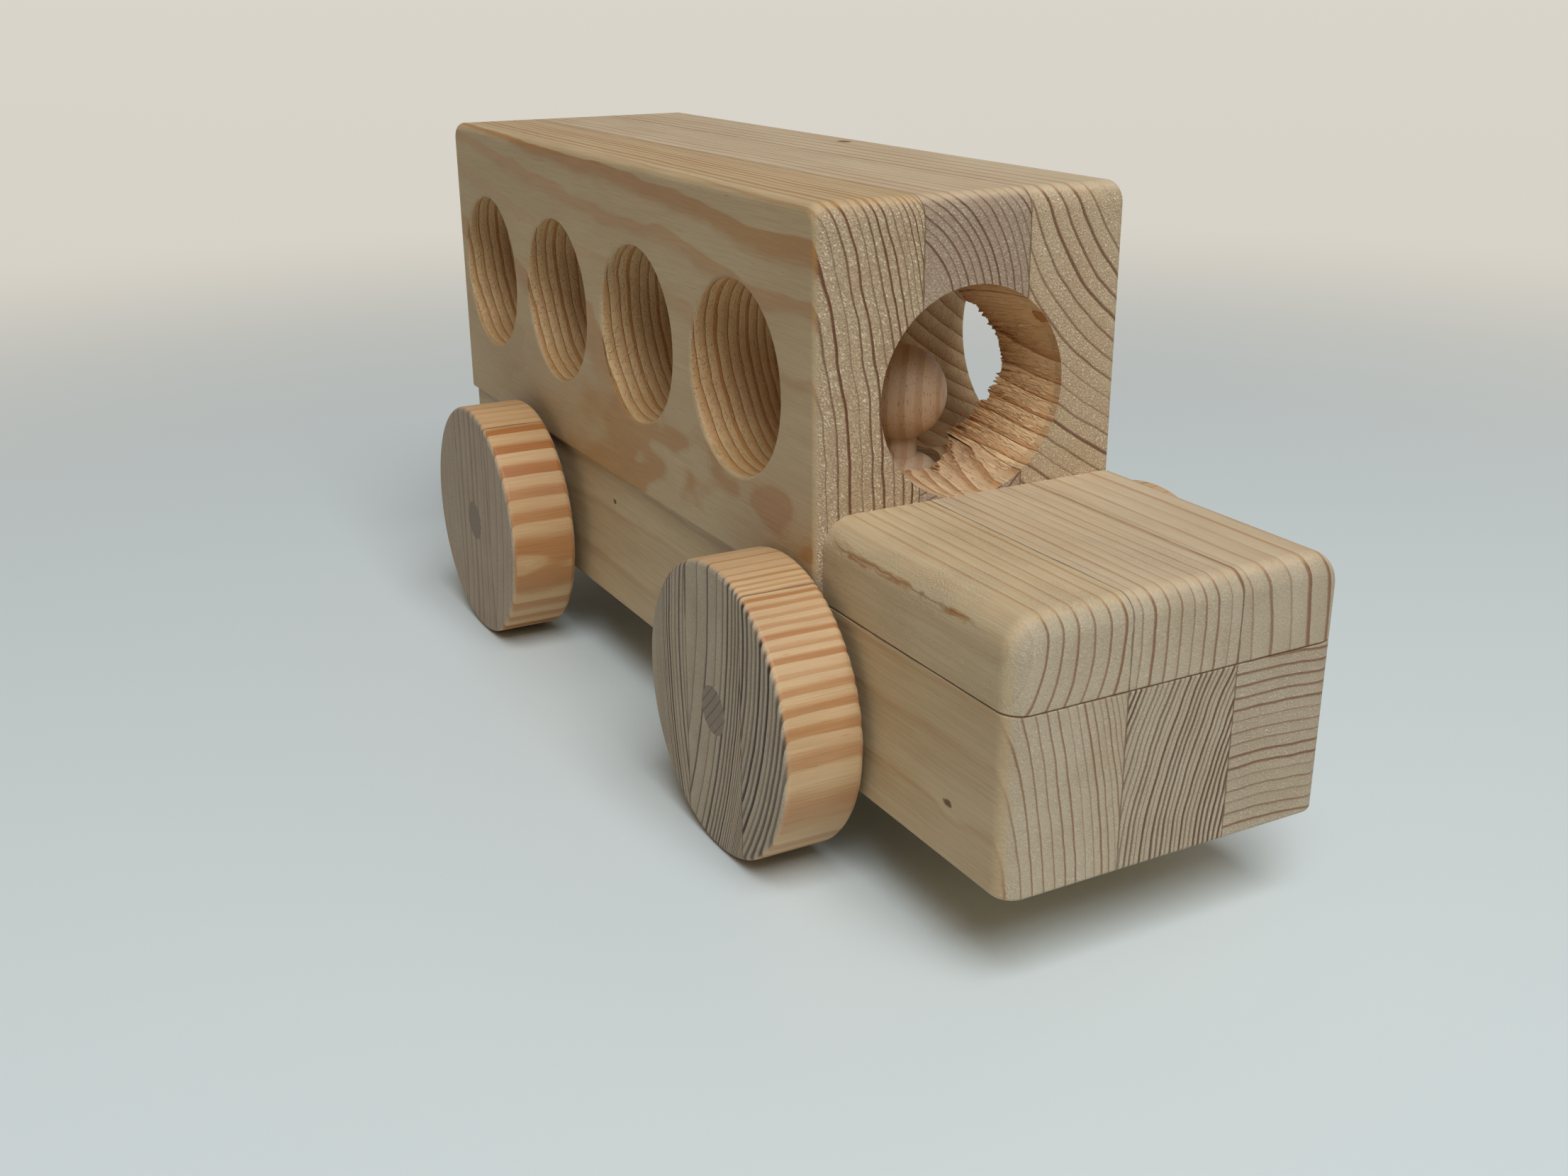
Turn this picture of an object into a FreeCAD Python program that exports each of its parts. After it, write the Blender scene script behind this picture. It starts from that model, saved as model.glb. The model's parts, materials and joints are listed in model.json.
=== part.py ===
"""Toy bus of glued pine: a chassis plank, a cabin with bored windows, a bonnet, a driver and two wheelsets.

Millimetres. +X is the way the bus drives, +Z is up, and -Y is the side with the right-hand wheels.
The origin lies on the floor, midway along the chassis and midway between the left and right wheels.
"""
import FreeCAD, Part
import math
import os
import Sketcher
from FreeCAD import Vector

# Driving dimensions: alias, millimetres (or a count), and what it is
SIZES = [
    ("chassis_length", 269.0, "whole plank, from the tail to the nose"),
    ("chassis_thickness", 34.4, "height of each chassis stave"),
    ("stave_width", 24.0, "width of every stave of the chassis, bonnet and cabin, and of each wheel's middle one"),
    ("front_axle_overhang", 72.2, "nose of the chassis ahead of the front axle"),
    ("rear_axle_overhang", 56.6, "tail of the chassis behind the rear axle"),
    ("axle_bore_height", 11.6, "axles above the underside of the chassis"),
    ("cabin_length", 207.5, "cabin block, flush with the tail"),
    ("cabin_height", 75.0, "cabin block above the chassis"),
    ("cabin_planing", 1.2, "planed off each side of the cabin after its boards were glued"),
    ("cabin_shift", 2.6, "cabin glued this much off centre, to the right"),
    ("window_diameter", 40.0, "bore of the side windows"),
    ("window_height", 37.0, "bore centres above the cabin's underside"),
    ("first_window_setback", 34.5, "centre of the foremost window behind the front face"),
    ("rear_window_setback", 25.1, "centre of the rearmost window ahead of the tail"),
    ("window_count", 4, "side windows"),
    ("windscreen_diameter", 42.0, "bore into the front face"),
    ("bonnet_height", 16.8, "bonnet staves above the chassis"),
    ("driver_setback", 27.0, "driver's axis behind the front face"),
    ("driver_body_diameter", 18.0, "socket in the cabin floor"),
    ("driver_neck_diameter", 7.8, "neck below the head"),
    ("driver_head_diameter", 20.0, "ball head"),
    ("driver_head_height", 31.6, "centre of the head above the chassis"),
    ("driver_shoulder_height", 18.2, "top of the shoulders above the chassis"),
    ("wheel_diameter", 60.5, "all four wheels"),
    ("wheel_thickness", 17.0, "all four wheels"),
    ("front_wheel_gap", 1.8, "between each front wheel and the side of the chassis"),
    ("rear_wheel_gap", 4.0, "between each rear wheel and the side of the chassis"),
    ("axle_diameter", 10.0, "dowel axles"),
    ("axle_play", 0.1, "running clearance round each axle, on the radius"),
    ("glue_gap", 0.05, "glue film round a round tenon, on the radius"),
    ("nose_radius", 4.2, "front outline of the chassis and bonnet"),
    ("bonnet_side_radius", 6.4, "long upper edges of the bonnet"),
    ("cabin_end_radius", 4.4, "roof edges at the front and the tail"),
    ("cabin_side_radius", 2.2, "outline of the cabin's side faces"),
    ("underside_radius", 0.8, "lower edges of the cabin and the chassis"),
    ("seam_radius", 0.4, "sanded edges beside the seam of chassis and bonnet"),
    ("window_radius", 0.8, "sanded window rims"),
    ("wheel_face_radius", 1.2, "outer edge of each wheel"),
    ("wheel_back_radius", 1.6, "inner edge of each wheel"),
    ("cut_overrun", 5.0, "how far a cutting outline runs past the wood"),
]

# Places that follow from the driving dimensions, as expressions on the sheet
CHASSIS_LOW = "(sizes.wheel_diameter / 2 - sizes.axle_bore_height)"
CHASSIS_TOP = CHASSIS_LOW[:-1] + " + sizes.chassis_thickness)"
CHASSIS_TAIL = "(-sizes.chassis_length / 2)"
CHASSIS_RIGHT = "(-1.5 * sizes.stave_width)"
PLANED_WIDTH = "(sizes.stave_width - sizes.cabin_planing)"
BONNET_LENGTH = "(sizes.chassis_length - sizes.cabin_length)"
WINDOW_ROW = "(sizes.cabin_length - sizes.first_window_setback - sizes.rear_window_setback)"
FRONT_AXLE = "(sizes.chassis_length / 2 - sizes.front_axle_overhang)"
REAR_AXLE = "(sizes.rear_axle_overhang - sizes.chassis_length / 2)"

TOUCH = 1e-4
SIDES = ("right", "middle", "left")
WHEEL_STAVES = ("fore", "middle", "aft")
CENTRE = 3
START = 1
END = 2

doc = FreeCAD.newDocument("toy_bus")
sheet = doc.addObject("Spreadsheet::Sheet", "sizes")
for row, (alias, amount, meaning) in enumerate(SIZES, start=1):
    sheet.set(f"A{row}", alias)
    sheet.set(f"B{row}", str(amount))
    sheet.setAlias(f"B{row}", alias)
    sheet.set(f"C{row}", meaning)
doc.recompute()


def number(expression):
    """The present value of an expression on the sheet."""
    return float(sheet.evalExpression(expression))


# Bodies, sketches and features

def new_body(label):
    body = doc.addObject("PartDesign::Body", label)
    body.Label = label
    return body


def place(body, x="0", y="0", z="0"):
    """Bind the body's position to the sheet."""
    for axis, expression in (("x", x), ("y", y), ("z", z)):
        body.setExpression(f".Placement.Base.{axis}", expression)


def new_sketch(body, role, name, offset=None):
    """A sketch on one of the body's own origin planes, moved along its normal by an expression."""
    sketch = body.newObject("Sketcher::SketchObject", f"{body.Name}_{name}")
    plane = next(item for item in body.Origin.OriginFeatures if item.Role == role)
    sketch.AttachmentSupport = [(plane, "")]
    sketch.MapMode = "FlatFace"
    if offset:
        sketch.setExpression(".AttachmentOffset.Base.z", offset)
    return sketch


def bind(sketch, name, constraint, expression):
    """Add a dimension and bind it to the sheet."""
    index = sketch.addConstraint(constraint)
    sketch.renameConstraint(index, name)
    sketch.setExpression(f"Constraints.{name}", expression)


def pin_point(sketch, name, item, point, across, up):
    """Fix one point of the outline at two expressions; a leading minus puts it on the negative side."""
    for kind, axis, expression in (("DistanceX", -2, across), ("DistanceY", -1, up)):
        size = abs(number(expression))
        if size < TOUCH:
            sketch.addConstraint(Sketcher.Constraint("PointOnObject", item, point, axis))
        elif number(expression) > 0:
            bind(sketch, name + kind, Sketcher.Constraint(kind, -1, 1, item, point, size), expression)
        else:
            bind(sketch, name + kind, Sketcher.Constraint(kind, item, point, -1, 1, size), f"-({expression})")


def draw_rectangle(sketch, left, right, low, high, name=""):
    """A rectangle between four expressions."""
    corners = [(left, low), (right, low), (right, high), (left, high)]
    points = [Vector(number(across), number(up), 0) for across, up in corners]
    lines = [sketch.addGeometry(Part.LineSegment(points[i], points[(i + 1) % 4])) for i in range(4)]
    for i, line in enumerate(lines):
        sketch.addConstraint(Sketcher.Constraint("Coincident", line, END, lines[(i + 1) % 4], START))
        sketch.addConstraint(Sketcher.Constraint("Vertical" if i % 2 else "Horizontal", line))
    pin_point(sketch, name + "low", lines[0], START, left, low)
    pin_point(sketch, name + "high", lines[2], START, right, high)


def draw_circle(sketch, name, across, up, radius):
    """A circle about a point given by expressions."""
    centre = Vector(number(across), number(up), 0)
    circle = sketch.addGeometry(Part.Circle(centre, Vector(0, 0, 1), number(radius)))
    bind(sketch, name + "Radius", Sketcher.Constraint("Radius", circle, number(radius)), radius)
    pin_point(sketch, name, circle, CENTRE, across, up)


def pad(body, sketch, length, midplane=False):
    feature = body.newObject("PartDesign::Pad", f"{sketch.Name}_pad")
    feature.Profile = sketch
    feature.setExpression("Length", length)
    feature.SideType = "Symmetric" if midplane else "One side"
    doc.recompute()
    return feature


def pocket(body, sketch, length=None, towards_normal=False, both_ways=False):
    """Cut the sketch out of the body and make sure that wood came away."""
    before = body.Shape.Volume
    feature = body.newObject("PartDesign::Pocket", f"{sketch.Name}_cut")
    feature.Profile = sketch
    feature.Reversed = towards_normal
    if both_ways:
        feature.SideType = "Symmetric"
    if length:
        feature.setExpression("Length", length)
    else:
        feature.Type = "ThroughAll"
    doc.recompute()
    if not body.Shape.Volume < before:
        raise RuntimeError(f"{feature.Name} cuts nothing")
    return feature


def row_of(body, feature, sketch, length, count):
    """Spread copies of a cut backwards over a length of the sketch's horizontal axis."""
    before = body.Shape.Volume
    pattern = body.newObject("PartDesign::LinearPattern", f"{feature.Name}_row")
    pattern.Originals = [feature]
    pattern.Direction = (sketch, ["H_Axis"])
    pattern.Reversed = True
    pattern.setExpression("Length", length)
    pattern.setExpression("Occurrences", count)
    body.Tip = pattern
    doc.recompute()
    if not body.Shape.Volume < before:
        raise RuntimeError(f"{pattern.Name} cuts nothing")
    return pattern


def edges_where(shape, test):
    """Names of the edges that pass the test, given each edge and its bounding box."""
    return [f"Edge{i}" for i, edge in enumerate(shape.Edges, start=1) if test(edge, edge.BoundBox)]


def soften(body, name, radius, test):
    """Round the edges of the body's last feature that pass the test."""
    tip = body.Tip
    names = edges_where(tip.Shape, test)
    if not names:
        raise RuntimeError(f"{body.Name} has no edge for {name}")
    feature = body.newObject("PartDesign::Fillet", f"{body.Name}_{name}")
    feature.Base = (tip, names)
    feature.setExpression("Radius", radius)
    doc.recompute()
    return feature


# Tests that pick edges, in the body's own frame

def lies_at(low, high, place_on_axis):
    return abs(low - place_on_axis) < TOUCH and abs(high - place_on_axis) < TOUCH


def edge_along_x(y, z):
    return lambda edge, box: box.XLength > TOUCH and lies_at(box.YMin, box.YMax, y) and lies_at(box.ZMin, box.ZMax, z)


def edge_along_y(x, z):
    return lambda edge, box: box.YLength > TOUCH and lies_at(box.XMin, box.XMax, x) and lies_at(box.ZMin, box.ZMax, z)


def edge_along_z(x, y):
    return lambda edge, box: box.ZLength > TOUCH and lies_at(box.XMin, box.XMax, x) and lies_at(box.YMin, box.YMax, y)


def any_of(*tests):
    return lambda edge, box: any(test(edge, box) for test in tests)


def circle_at_y(y, radius):
    """Whole or part circles of one radius, lying in the plane at this y."""
    return lambda edge, box: (
        isinstance(edge.Curve, Part.Circle)
        and abs(edge.Curve.Radius - radius) < TOUCH
        and lies_at(box.YMin, box.YMax, y)
    )


# Sawn stock shared by the chassis, the cabin and the bonnet

def sawn_board(label, length, width, height):
    """A board lying along X with its tail, right and lower faces on the planes of its own frame."""
    body = new_body(label)
    section = new_sketch(body, "YZ_Plane", "section")
    draw_rectangle(section, "0", width, "0", height)
    pad(body, section, length)
    return body


def outer_face(side, width):
    """Where the outer face of a right or left board lies across the board."""
    return {"right": 0.0, "left": number(width)}.get(side)


def chassis_stave(index, side):
    """One of three staves glued edge to edge: the plank that carries everything."""
    width = "sizes.stave_width"
    body = sawn_board(f"chassis_stave_{side}", "sizes.chassis_length", width, "sizes.chassis_thickness")
    place(body, CHASSIS_TAIL, f"{CHASSIS_RIGHT} + {index} * {width}", CHASSIS_LOW)
    bores = new_sketch(body, "XZ_Plane", "axle_bores")
    bore_radius = "sizes.axle_diameter / 2 + sizes.axle_play"
    draw_circle(bores, "rear", "sizes.rear_axle_overhang", "sizes.axle_bore_height", bore_radius)
    front = "sizes.chassis_length - sizes.front_axle_overhang"
    draw_circle(bores, "front", front, "sizes.axle_bore_height", bore_radius)
    pocket(body, bores)
    nose = number("sizes.chassis_length")
    top = number("sizes.chassis_thickness")
    outer = outer_face(side, width)
    if outer is not None:
        soften(body, "nose_corner", "sizes.nose_radius", edge_along_z(nose, outer))
        soften(body, "tail_corner", "sizes.cabin_side_radius", edge_along_z(0, outer))
        soften(body, "seam_edge", "sizes.seam_radius", edge_along_x(outer, top))
        soften(body, "underside", "sizes.underside_radius", edge_along_x(outer, 0))
    else:
        soften(body, "seam_edge", "sizes.seam_radius", any_of(edge_along_y(0, top), edge_along_y(nose, top)))
        soften(body, "underside", "sizes.underside_radius", any_of(edge_along_y(0, 0), edge_along_y(nose, 0)))
    return body


def bonnet_stave(index, side):
    """One of three short staves glued on the nose of the chassis, against the cabin."""
    width = "sizes.stave_width"
    body = sawn_board(f"bonnet_stave_{side}", BONNET_LENGTH, width, "sizes.bonnet_height")
    place(body, f"{CHASSIS_TAIL} + sizes.cabin_length", f"{CHASSIS_RIGHT} + {index} * {width}", CHASSIS_TOP)
    nose = number(BONNET_LENGTH)
    top = number("sizes.bonnet_height")
    outer = outer_face(side, width)
    if outer is not None:
        soften(body, "side_edge", "sizes.bonnet_side_radius", edge_along_x(outer, top))
        soften(body, "nose_edge", "sizes.nose_radius", edge_along_y(nose, top))
        soften(body, "seam_edge", "sizes.seam_radius", edge_along_x(outer, 0))
    else:
        soften(body, "nose_edge", "sizes.nose_radius", edge_along_y(nose, top))
        soften(body, "seam_edge", "sizes.seam_radius", edge_along_y(nose, 0))
    return body


def cabin_board(index, side):
    """One of three upright boards, bored through for the windows and from the front for the windscreen."""
    width = "sizes.stave_width" if side == "middle" else PLANED_WIDTH
    centre = f"((1.5 - {index}) * sizes.stave_width)"
    if side == "right":
        centre = f"({PLANED_WIDTH} + sizes.stave_width / 2)"
    body = sawn_board(f"cabin_board_{side}", "sizes.cabin_length", width, "sizes.cabin_height")
    place(body, CHASSIS_TAIL, f"-sizes.cabin_shift - {centre}", CHASSIS_TOP)
    bore_windows(body)
    bore_windscreen(body, centre)
    if side == "middle":
        bore_driver_socket(body, centre)
    shape_cabin_edges(body, outer_face(side, width))
    return body


def bore_windows(body):
    """A row of round windows through the board, from the foremost one back."""
    windows = new_sketch(body, "XZ_Plane", "window")
    foremost = "sizes.cabin_length - sizes.first_window_setback"
    draw_circle(windows, "window", foremost, "sizes.window_height", "sizes.window_diameter / 2")
    first = pocket(body, windows)
    row_of(body, first, windows, WINDOW_ROW, "sizes.window_count")


def bore_windscreen(body, cabin_centre):
    """The bore from the front face that breaks into the foremost window."""
    screen = new_sketch(body, "YZ_Plane", "windscreen", offset="sizes.cabin_length")
    draw_circle(screen, "screen", cabin_centre, "sizes.window_height", "sizes.windscreen_diameter / 2")
    pocket(body, screen, "sizes.first_window_setback")


def bore_driver_socket(body, cabin_centre):
    """A hole up through the cabin floor, bored before the cabin was glued down."""
    socket = new_sketch(body, "XY_Plane", "driver_socket")
    along = "sizes.cabin_length - sizes.driver_setback"
    draw_circle(socket, "socket", along, cabin_centre, "sizes.driver_body_diameter / 2")
    pocket(body, socket, "sizes.window_height", towards_normal=True)


def shape_cabin_edges(body, outer):
    """Round the roof's ends, then the outline and the window rims of an outer face."""
    front = number("sizes.cabin_length")
    roof = number("sizes.cabin_height")
    ends = any_of(edge_along_y(0, roof), edge_along_y(front, roof))
    soften(body, "roof_ends", "sizes.cabin_end_radius", ends)
    if outer is None:
        feet = any_of(edge_along_y(0, 0), edge_along_y(front, 0))
        soften(body, "underside", "sizes.underside_radius", feet)
        return
    soften(body, "side_outline", "sizes.cabin_side_radius", edge_along_x(outer, roof))
    soften(body, "underside", "sizes.underside_radius", edge_along_x(outer, 0))
    rims = circle_at_y(outer, number("sizes.window_diameter / 2"))
    soften(body, "window_rims", "sizes.window_radius", rims)


# Driver

def turned_driver():
    """One turned piece: a round body in its socket, domed shoulders, a short neck and a ball head."""
    body = new_body("driver")
    waist = "(sizes.driver_body_diameter / 2 - sizes.glue_gap)"
    neck = "(sizes.driver_neck_diameter / 2)"
    head = "(sizes.driver_head_diameter / 2)"
    shoulder = f"({waist} - {neck})"
    profile = new_sketch(body, "XZ_Plane", "profile")
    draw_driver_profile(profile, waist, neck, head, shoulder)
    turned = body.newObject("PartDesign::Revolution", "driver_turned")
    turned.Profile = profile
    turned.ReferenceAxis = (profile, ["V_Axis"])
    doc.recompute()
    place(body, f"{CHASSIS_TAIL} + sizes.cabin_length - sizes.driver_setback", "-sizes.cabin_shift", CHASSIS_TOP)
    return body


def draw_driver_profile(sketch, waist, neck, head, shoulder):
    """Half the outline, from the axis at the foot round to the crown."""
    foot_r, neck_r, head_r, shoulder_r = (number(size) for size in (waist, neck, head, shoulder))
    head_z = number("sizes.driver_head_height")
    shoulder_z = number("sizes.driver_shoulder_height")
    nape_angle = -math.acos(neck_r / head_r)
    nape_z = head_z + head_r * math.sin(nape_angle)
    upright = Vector(0, 0, 1)
    shoulder_circle = Part.Circle(Vector(neck_r, shoulder_z - shoulder_r, 0), upright, shoulder_r)
    head_circle = Part.Circle(Vector(0, head_z, 0), upright, head_r)
    outline = [
        Part.LineSegment(Vector(0, 0, 0), Vector(foot_r, 0, 0)),
        Part.LineSegment(Vector(foot_r, 0, 0), Vector(foot_r, shoulder_z - shoulder_r, 0)),
        Part.ArcOfCircle(shoulder_circle, 0, math.pi / 2),
        Part.LineSegment(Vector(neck_r, shoulder_z, 0), Vector(neck_r, nape_z, 0)),
        Part.ArcOfCircle(head_circle, nape_angle, math.pi / 2),
        Part.LineSegment(Vector(0, head_z + head_r, 0), Vector(0, 0, 0)),
    ]
    foot, side, dome, nape, ball, axis = (sketch.addGeometry(piece) for piece in outline)
    joints = [
        (foot, END, side, START),
        (side, END, dome, START),
        (dome, END, nape, START),
        (nape, END, ball, START),
        (ball, END, axis, START),
        (axis, END, foot, START),
    ]
    for joint in joints:
        sketch.addConstraint(Sketcher.Constraint("Coincident", *joint))
    for line in (side, nape, axis):
        sketch.addConstraint(Sketcher.Constraint("Vertical", line))
    sketch.addConstraint(Sketcher.Constraint("Horizontal", foot))
    sketch.addConstraint(Sketcher.Constraint("Coincident", foot, START, -1, 1))
    sketch.addConstraint(Sketcher.Constraint("PointOnObject", ball, CENTRE, -2))
    sketch.addConstraint(Sketcher.Constraint("Vertical", dome, CENTRE, dome, END))
    sketch.addConstraint(Sketcher.Constraint("Horizontal", dome, CENTRE, dome, START))
    bind(sketch, "waist", Sketcher.Constraint("DistanceX", -1, 1, side, END, foot_r), waist)
    bind(sketch, "neck", Sketcher.Constraint("DistanceX", -1, 1, nape, START, neck_r), neck)
    bind(sketch, "headRadius", Sketcher.Constraint("Radius", ball, head_r), head)
    bind(sketch, "headHeight", Sketcher.Constraint("DistanceY", -1, 1, ball, CENTRE, head_z),
         "sizes.driver_head_height")
    bind(sketch, "shoulderHeight", Sketcher.Constraint("DistanceY", -1, 1, nape, START, shoulder_z),
         "sizes.driver_shoulder_height")


# Wheelsets

def wheel_face(end):
    """How far from the middle the outer faces of an axle's wheels lie."""
    return f"(1.5 * sizes.stave_width + sizes.{end}_wheel_gap + sizes.wheel_thickness)"


def axle(end, x):
    """A dowel that turns in the chassis and carries a wheel glued on each end, flush with its face."""
    body = new_body(f"{end}_axle")
    section = new_sketch(body, "XZ_Plane", "section")
    draw_circle(section, "dowel", "0", "0", "sizes.axle_diameter / 2")
    pad(body, section, f"2 * {wheel_face(end)}", midplane=True)
    place(body, x, "0", "sizes.wheel_diameter / 2")
    return body


def wheel_stave(end, side, x, part):
    """One of three staves of a wheel turned from an edge-glued panel, the middle one centred on the axle."""
    body = new_body(f"{end}_{side}_wheel_stave_{part}")
    profile = new_sketch(body, "XY_Plane", "profile")
    bore = "sizes.axle_diameter / 2 + sizes.glue_gap"
    draw_rectangle(profile, bore, "sizes.wheel_diameter / 2", "0", "sizes.wheel_thickness")
    turned = body.newObject("PartDesign::Revolution", f"{body.Name}_turned")
    turned.Profile = profile
    turned.ReferenceAxis = (profile, ["V_Axis"])
    doc.recompute()
    rim = number("sizes.wheel_diameter / 2")
    soften(body, "face_edge", "sizes.wheel_face_radius", circle_at_y(0, rim))
    soften(body, "back_edge", "sizes.wheel_back_radius", circle_at_y(number("sizes.wheel_thickness"), rim))
    cut_to_stave(body, part)
    away = -1 if side == "right" else 1
    place(body, x, f"{away} * {wheel_face(end)}", "sizes.wheel_diameter / 2")
    if side == "left":
        body.Placement.Rotation = FreeCAD.Rotation(Vector(1, 0, 0), 180)
    return body


def cut_to_stave(body, part):
    """Take away what belongs to the wheel's other staves."""
    glue_line = "sizes.stave_width / 2"
    past_rim = "sizes.wheel_diameter / 2 + sizes.cut_overrun"
    waste = {
        "fore": [(f"-({past_rim})", glue_line)],
        "middle": [(f"-({past_rim})", f"-{glue_line}"), (glue_line, past_rim)],
        "aft": [(f"-{glue_line}", past_rim)],
    }
    saw = new_sketch(body, "XY_Plane", "glue_lines")
    past_back = "sizes.wheel_thickness + sizes.cut_overrun"
    for count, (left, right) in enumerate(waste[part]):
        draw_rectangle(saw, left, right, "-sizes.cut_overrun", past_back, f"cut{count}")
    pocket(body, saw, both_ways=True)


def wheelset(end, x):
    """An axle with its two wheels of three staves."""
    pieces = [axle(end, x)]
    for side in ("right", "left"):
        for part in WHEEL_STAVES:
            pieces.append(wheel_stave(end, side, x, part))
    return pieces


def build():
    """Every piece of the bus, in the order in which it would be glued up."""
    pieces = []
    for maker in (chassis_stave, cabin_board, bonnet_stave):
        for index, side in enumerate(SIDES):
            pieces.append(maker(index, side))
    pieces.append(turned_driver())
    pieces += wheelset("front", FRONT_AXLE)
    pieces += wheelset("rear", REAR_AXLE)
    doc.recompute()
    return pieces


def check(pieces):
    """Stop before anything is written if an object failed or a piece is not one sound solid."""
    for item in doc.Objects:
        if "Invalid" in item.State or "Error" in item.State:
            raise RuntimeError(f"{item.Name} failed: {item.State}")
    for piece in pieces:
        shape = piece.Shape
        if shape.isNull() or not shape.isValid() or len(shape.Solids) != 1:
            raise RuntimeError(f"{piece.Label} is not one valid solid")


def export(pieces):
    os.makedirs("parts", exist_ok=True)
    for piece in pieces:
        piece.Shape.exportStep(f"parts/{piece.Label}.step")
        print(f"{piece.Label}: {piece.Shape.Volume / 1000:.1f} cm3")


bus = build()
check(bus)
export(bus)
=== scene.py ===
"""Toy bus: the finish of every glued pine stave, of the turned driver and of the dowels.

Sizes within a stave are in millimetres, everything else is in metres.
+X is the way the bus drives, -Y is its right-hand side and +Z is up.
"""

import json
import math
import random
from typing import NamedTuple

import bmesh
import bpy
from mathutils import Matrix, Vector


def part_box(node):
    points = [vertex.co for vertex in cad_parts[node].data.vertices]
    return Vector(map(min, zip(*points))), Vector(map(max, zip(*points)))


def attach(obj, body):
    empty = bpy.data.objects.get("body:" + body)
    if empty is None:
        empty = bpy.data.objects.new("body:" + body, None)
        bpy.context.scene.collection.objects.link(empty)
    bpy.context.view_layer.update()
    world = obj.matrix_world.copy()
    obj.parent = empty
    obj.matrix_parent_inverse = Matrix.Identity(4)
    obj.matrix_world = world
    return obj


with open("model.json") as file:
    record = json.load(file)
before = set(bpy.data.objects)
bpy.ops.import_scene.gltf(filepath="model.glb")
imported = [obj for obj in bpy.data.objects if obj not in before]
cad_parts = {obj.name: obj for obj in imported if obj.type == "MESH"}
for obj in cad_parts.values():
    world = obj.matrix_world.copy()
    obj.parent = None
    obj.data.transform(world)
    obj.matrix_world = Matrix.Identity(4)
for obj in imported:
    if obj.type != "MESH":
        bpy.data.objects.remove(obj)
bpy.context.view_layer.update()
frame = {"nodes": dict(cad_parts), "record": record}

bl_info = {
    "name": "Toy bus finish",
    "version": (1, 0, 0),
    "blender": (4, 5, 0),
    "location": "3D View > Sidebar > Toy bus",
    "description": "Finishes in pine, beech and birch for a wooden toy bus, and the stage it stands on",
    "category": "Material",
}

MM = 0.001
SIDES = ("right", "middle", "left")
ENDS = ("front", "rear")


def paint(red, green, blue):
    """A scene-linear colour from the 0 to 255 values that a paint chart gives."""
    return tuple(
        value / 12.92 if value <= 0.04045 else ((value + 0.055) / 1.055) ** 2.4
        for value in (red / 255, green / 255, blue / 255)
    )


def opaque(colour):
    """The colour with a full alpha, as a colour socket takes it."""
    return (*colour, 1.0)


# What a user would change

COLOUR = {"subtype": "COLOR", "size": 3, "min": 0, "max": 1}
LENGTH = {"subtype": "DISTANCE", "unit": "LENGTH"}
PLACE = {"subtype": "TRANSLATION", "unit": "LENGTH", "size": 3}


class PineProperties(bpy.types.PropertyGroup):
    """Colours and grain of the sanded pine."""

    early_wood: bpy.props.FloatVectorProperty(
        name="Early wood", description="Pale wood between the dark lines, along the grain",
        default=paint(214, 193, 157), **COLOUR)
    late_wood: bpy.props.FloatVectorProperty(
        name="Late wood", description="Dark line that ends each year's ring, along the grain",
        default=paint(178, 122, 63), **COLOUR)
    end_early_wood: bpy.props.FloatVectorProperty(
        name="End grain, early", description="Pale wood where the fibres are cut across",
        default=paint(200, 186, 158), **COLOUR)
    end_late_wood: bpy.props.FloatVectorProperty(
        name="End grain, late", description="Dark lines where the fibres are cut across",
        default=paint(138, 94, 60), **COLOUR)
    # Also the colour of the painted shade in the open seam along the bed between chassis and bodywork
    glue: bpy.props.FloatVectorProperty(
        name="Glue line", description="Thin line of dried glue between two staves",
        default=paint(112, 84, 56), **COLOUR)
    knot: bpy.props.FloatVectorProperty(
        name="Pin knot", description="Small brown knot in a long face",
        default=paint(118, 80, 48), **COLOUR)
    torn: bpy.props.FloatVectorProperty(
        name="Torn fibres", description="Raw wood where the drill tore the fibres",
        default=paint(228, 198, 156), **COLOUR)
    fibre_size: bpy.props.FloatProperty(
        name="Fibre size", description="Width of the fine streaks along the grain, in millimetres",
        min=0.05, max=2, default=0.4)
    glue_width: bpy.props.FloatProperty(
        name="Glue line width", description="Half the width of a glue line, in millimetres",
        min=0.05, max=2, default=0.28)
    relief: bpy.props.FloatProperty(
        name="Relief", description="Height of the sanded grain",
        min=0, max=0.002, default=0.25 * MM, **LENGTH)


class BeechProperties(bpy.types.PropertyGroup):
    """Colours of the turned driver."""

    wood: bpy.props.FloatVectorProperty(
        name="Beech", description="Reddish ground of the turned wood",
        default=paint(203, 174, 142), **COLOUR)
    band: bpy.props.FloatVectorProperty(
        name="Band", description="Darker bands that run up the figure",
        default=paint(184, 150, 116), **COLOUR)
    fleck: bpy.props.FloatVectorProperty(
        name="Fleck", description="Short dark flecks along the grain",
        default=paint(148, 110, 80), **COLOUR)


class BirchProperties(bpy.types.PropertyGroup):
    """Colours of the dowel axles."""

    wood: bpy.props.FloatVectorProperty(
        name="Birch", description="Sides of the dowel",
        default=paint(206, 178, 142), **COLOUR)
    end: bpy.props.FloatVectorProperty(
        name="Dowel end", description="Cut end of the dowel in the wheel's face",
        default=paint(164, 146, 126), **COLOUR)
    line: bpy.props.FloatVectorProperty(
        name="Line", description="Ring lines across the dowel's end",
        default=paint(112, 92, 76), **COLOUR)


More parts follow.
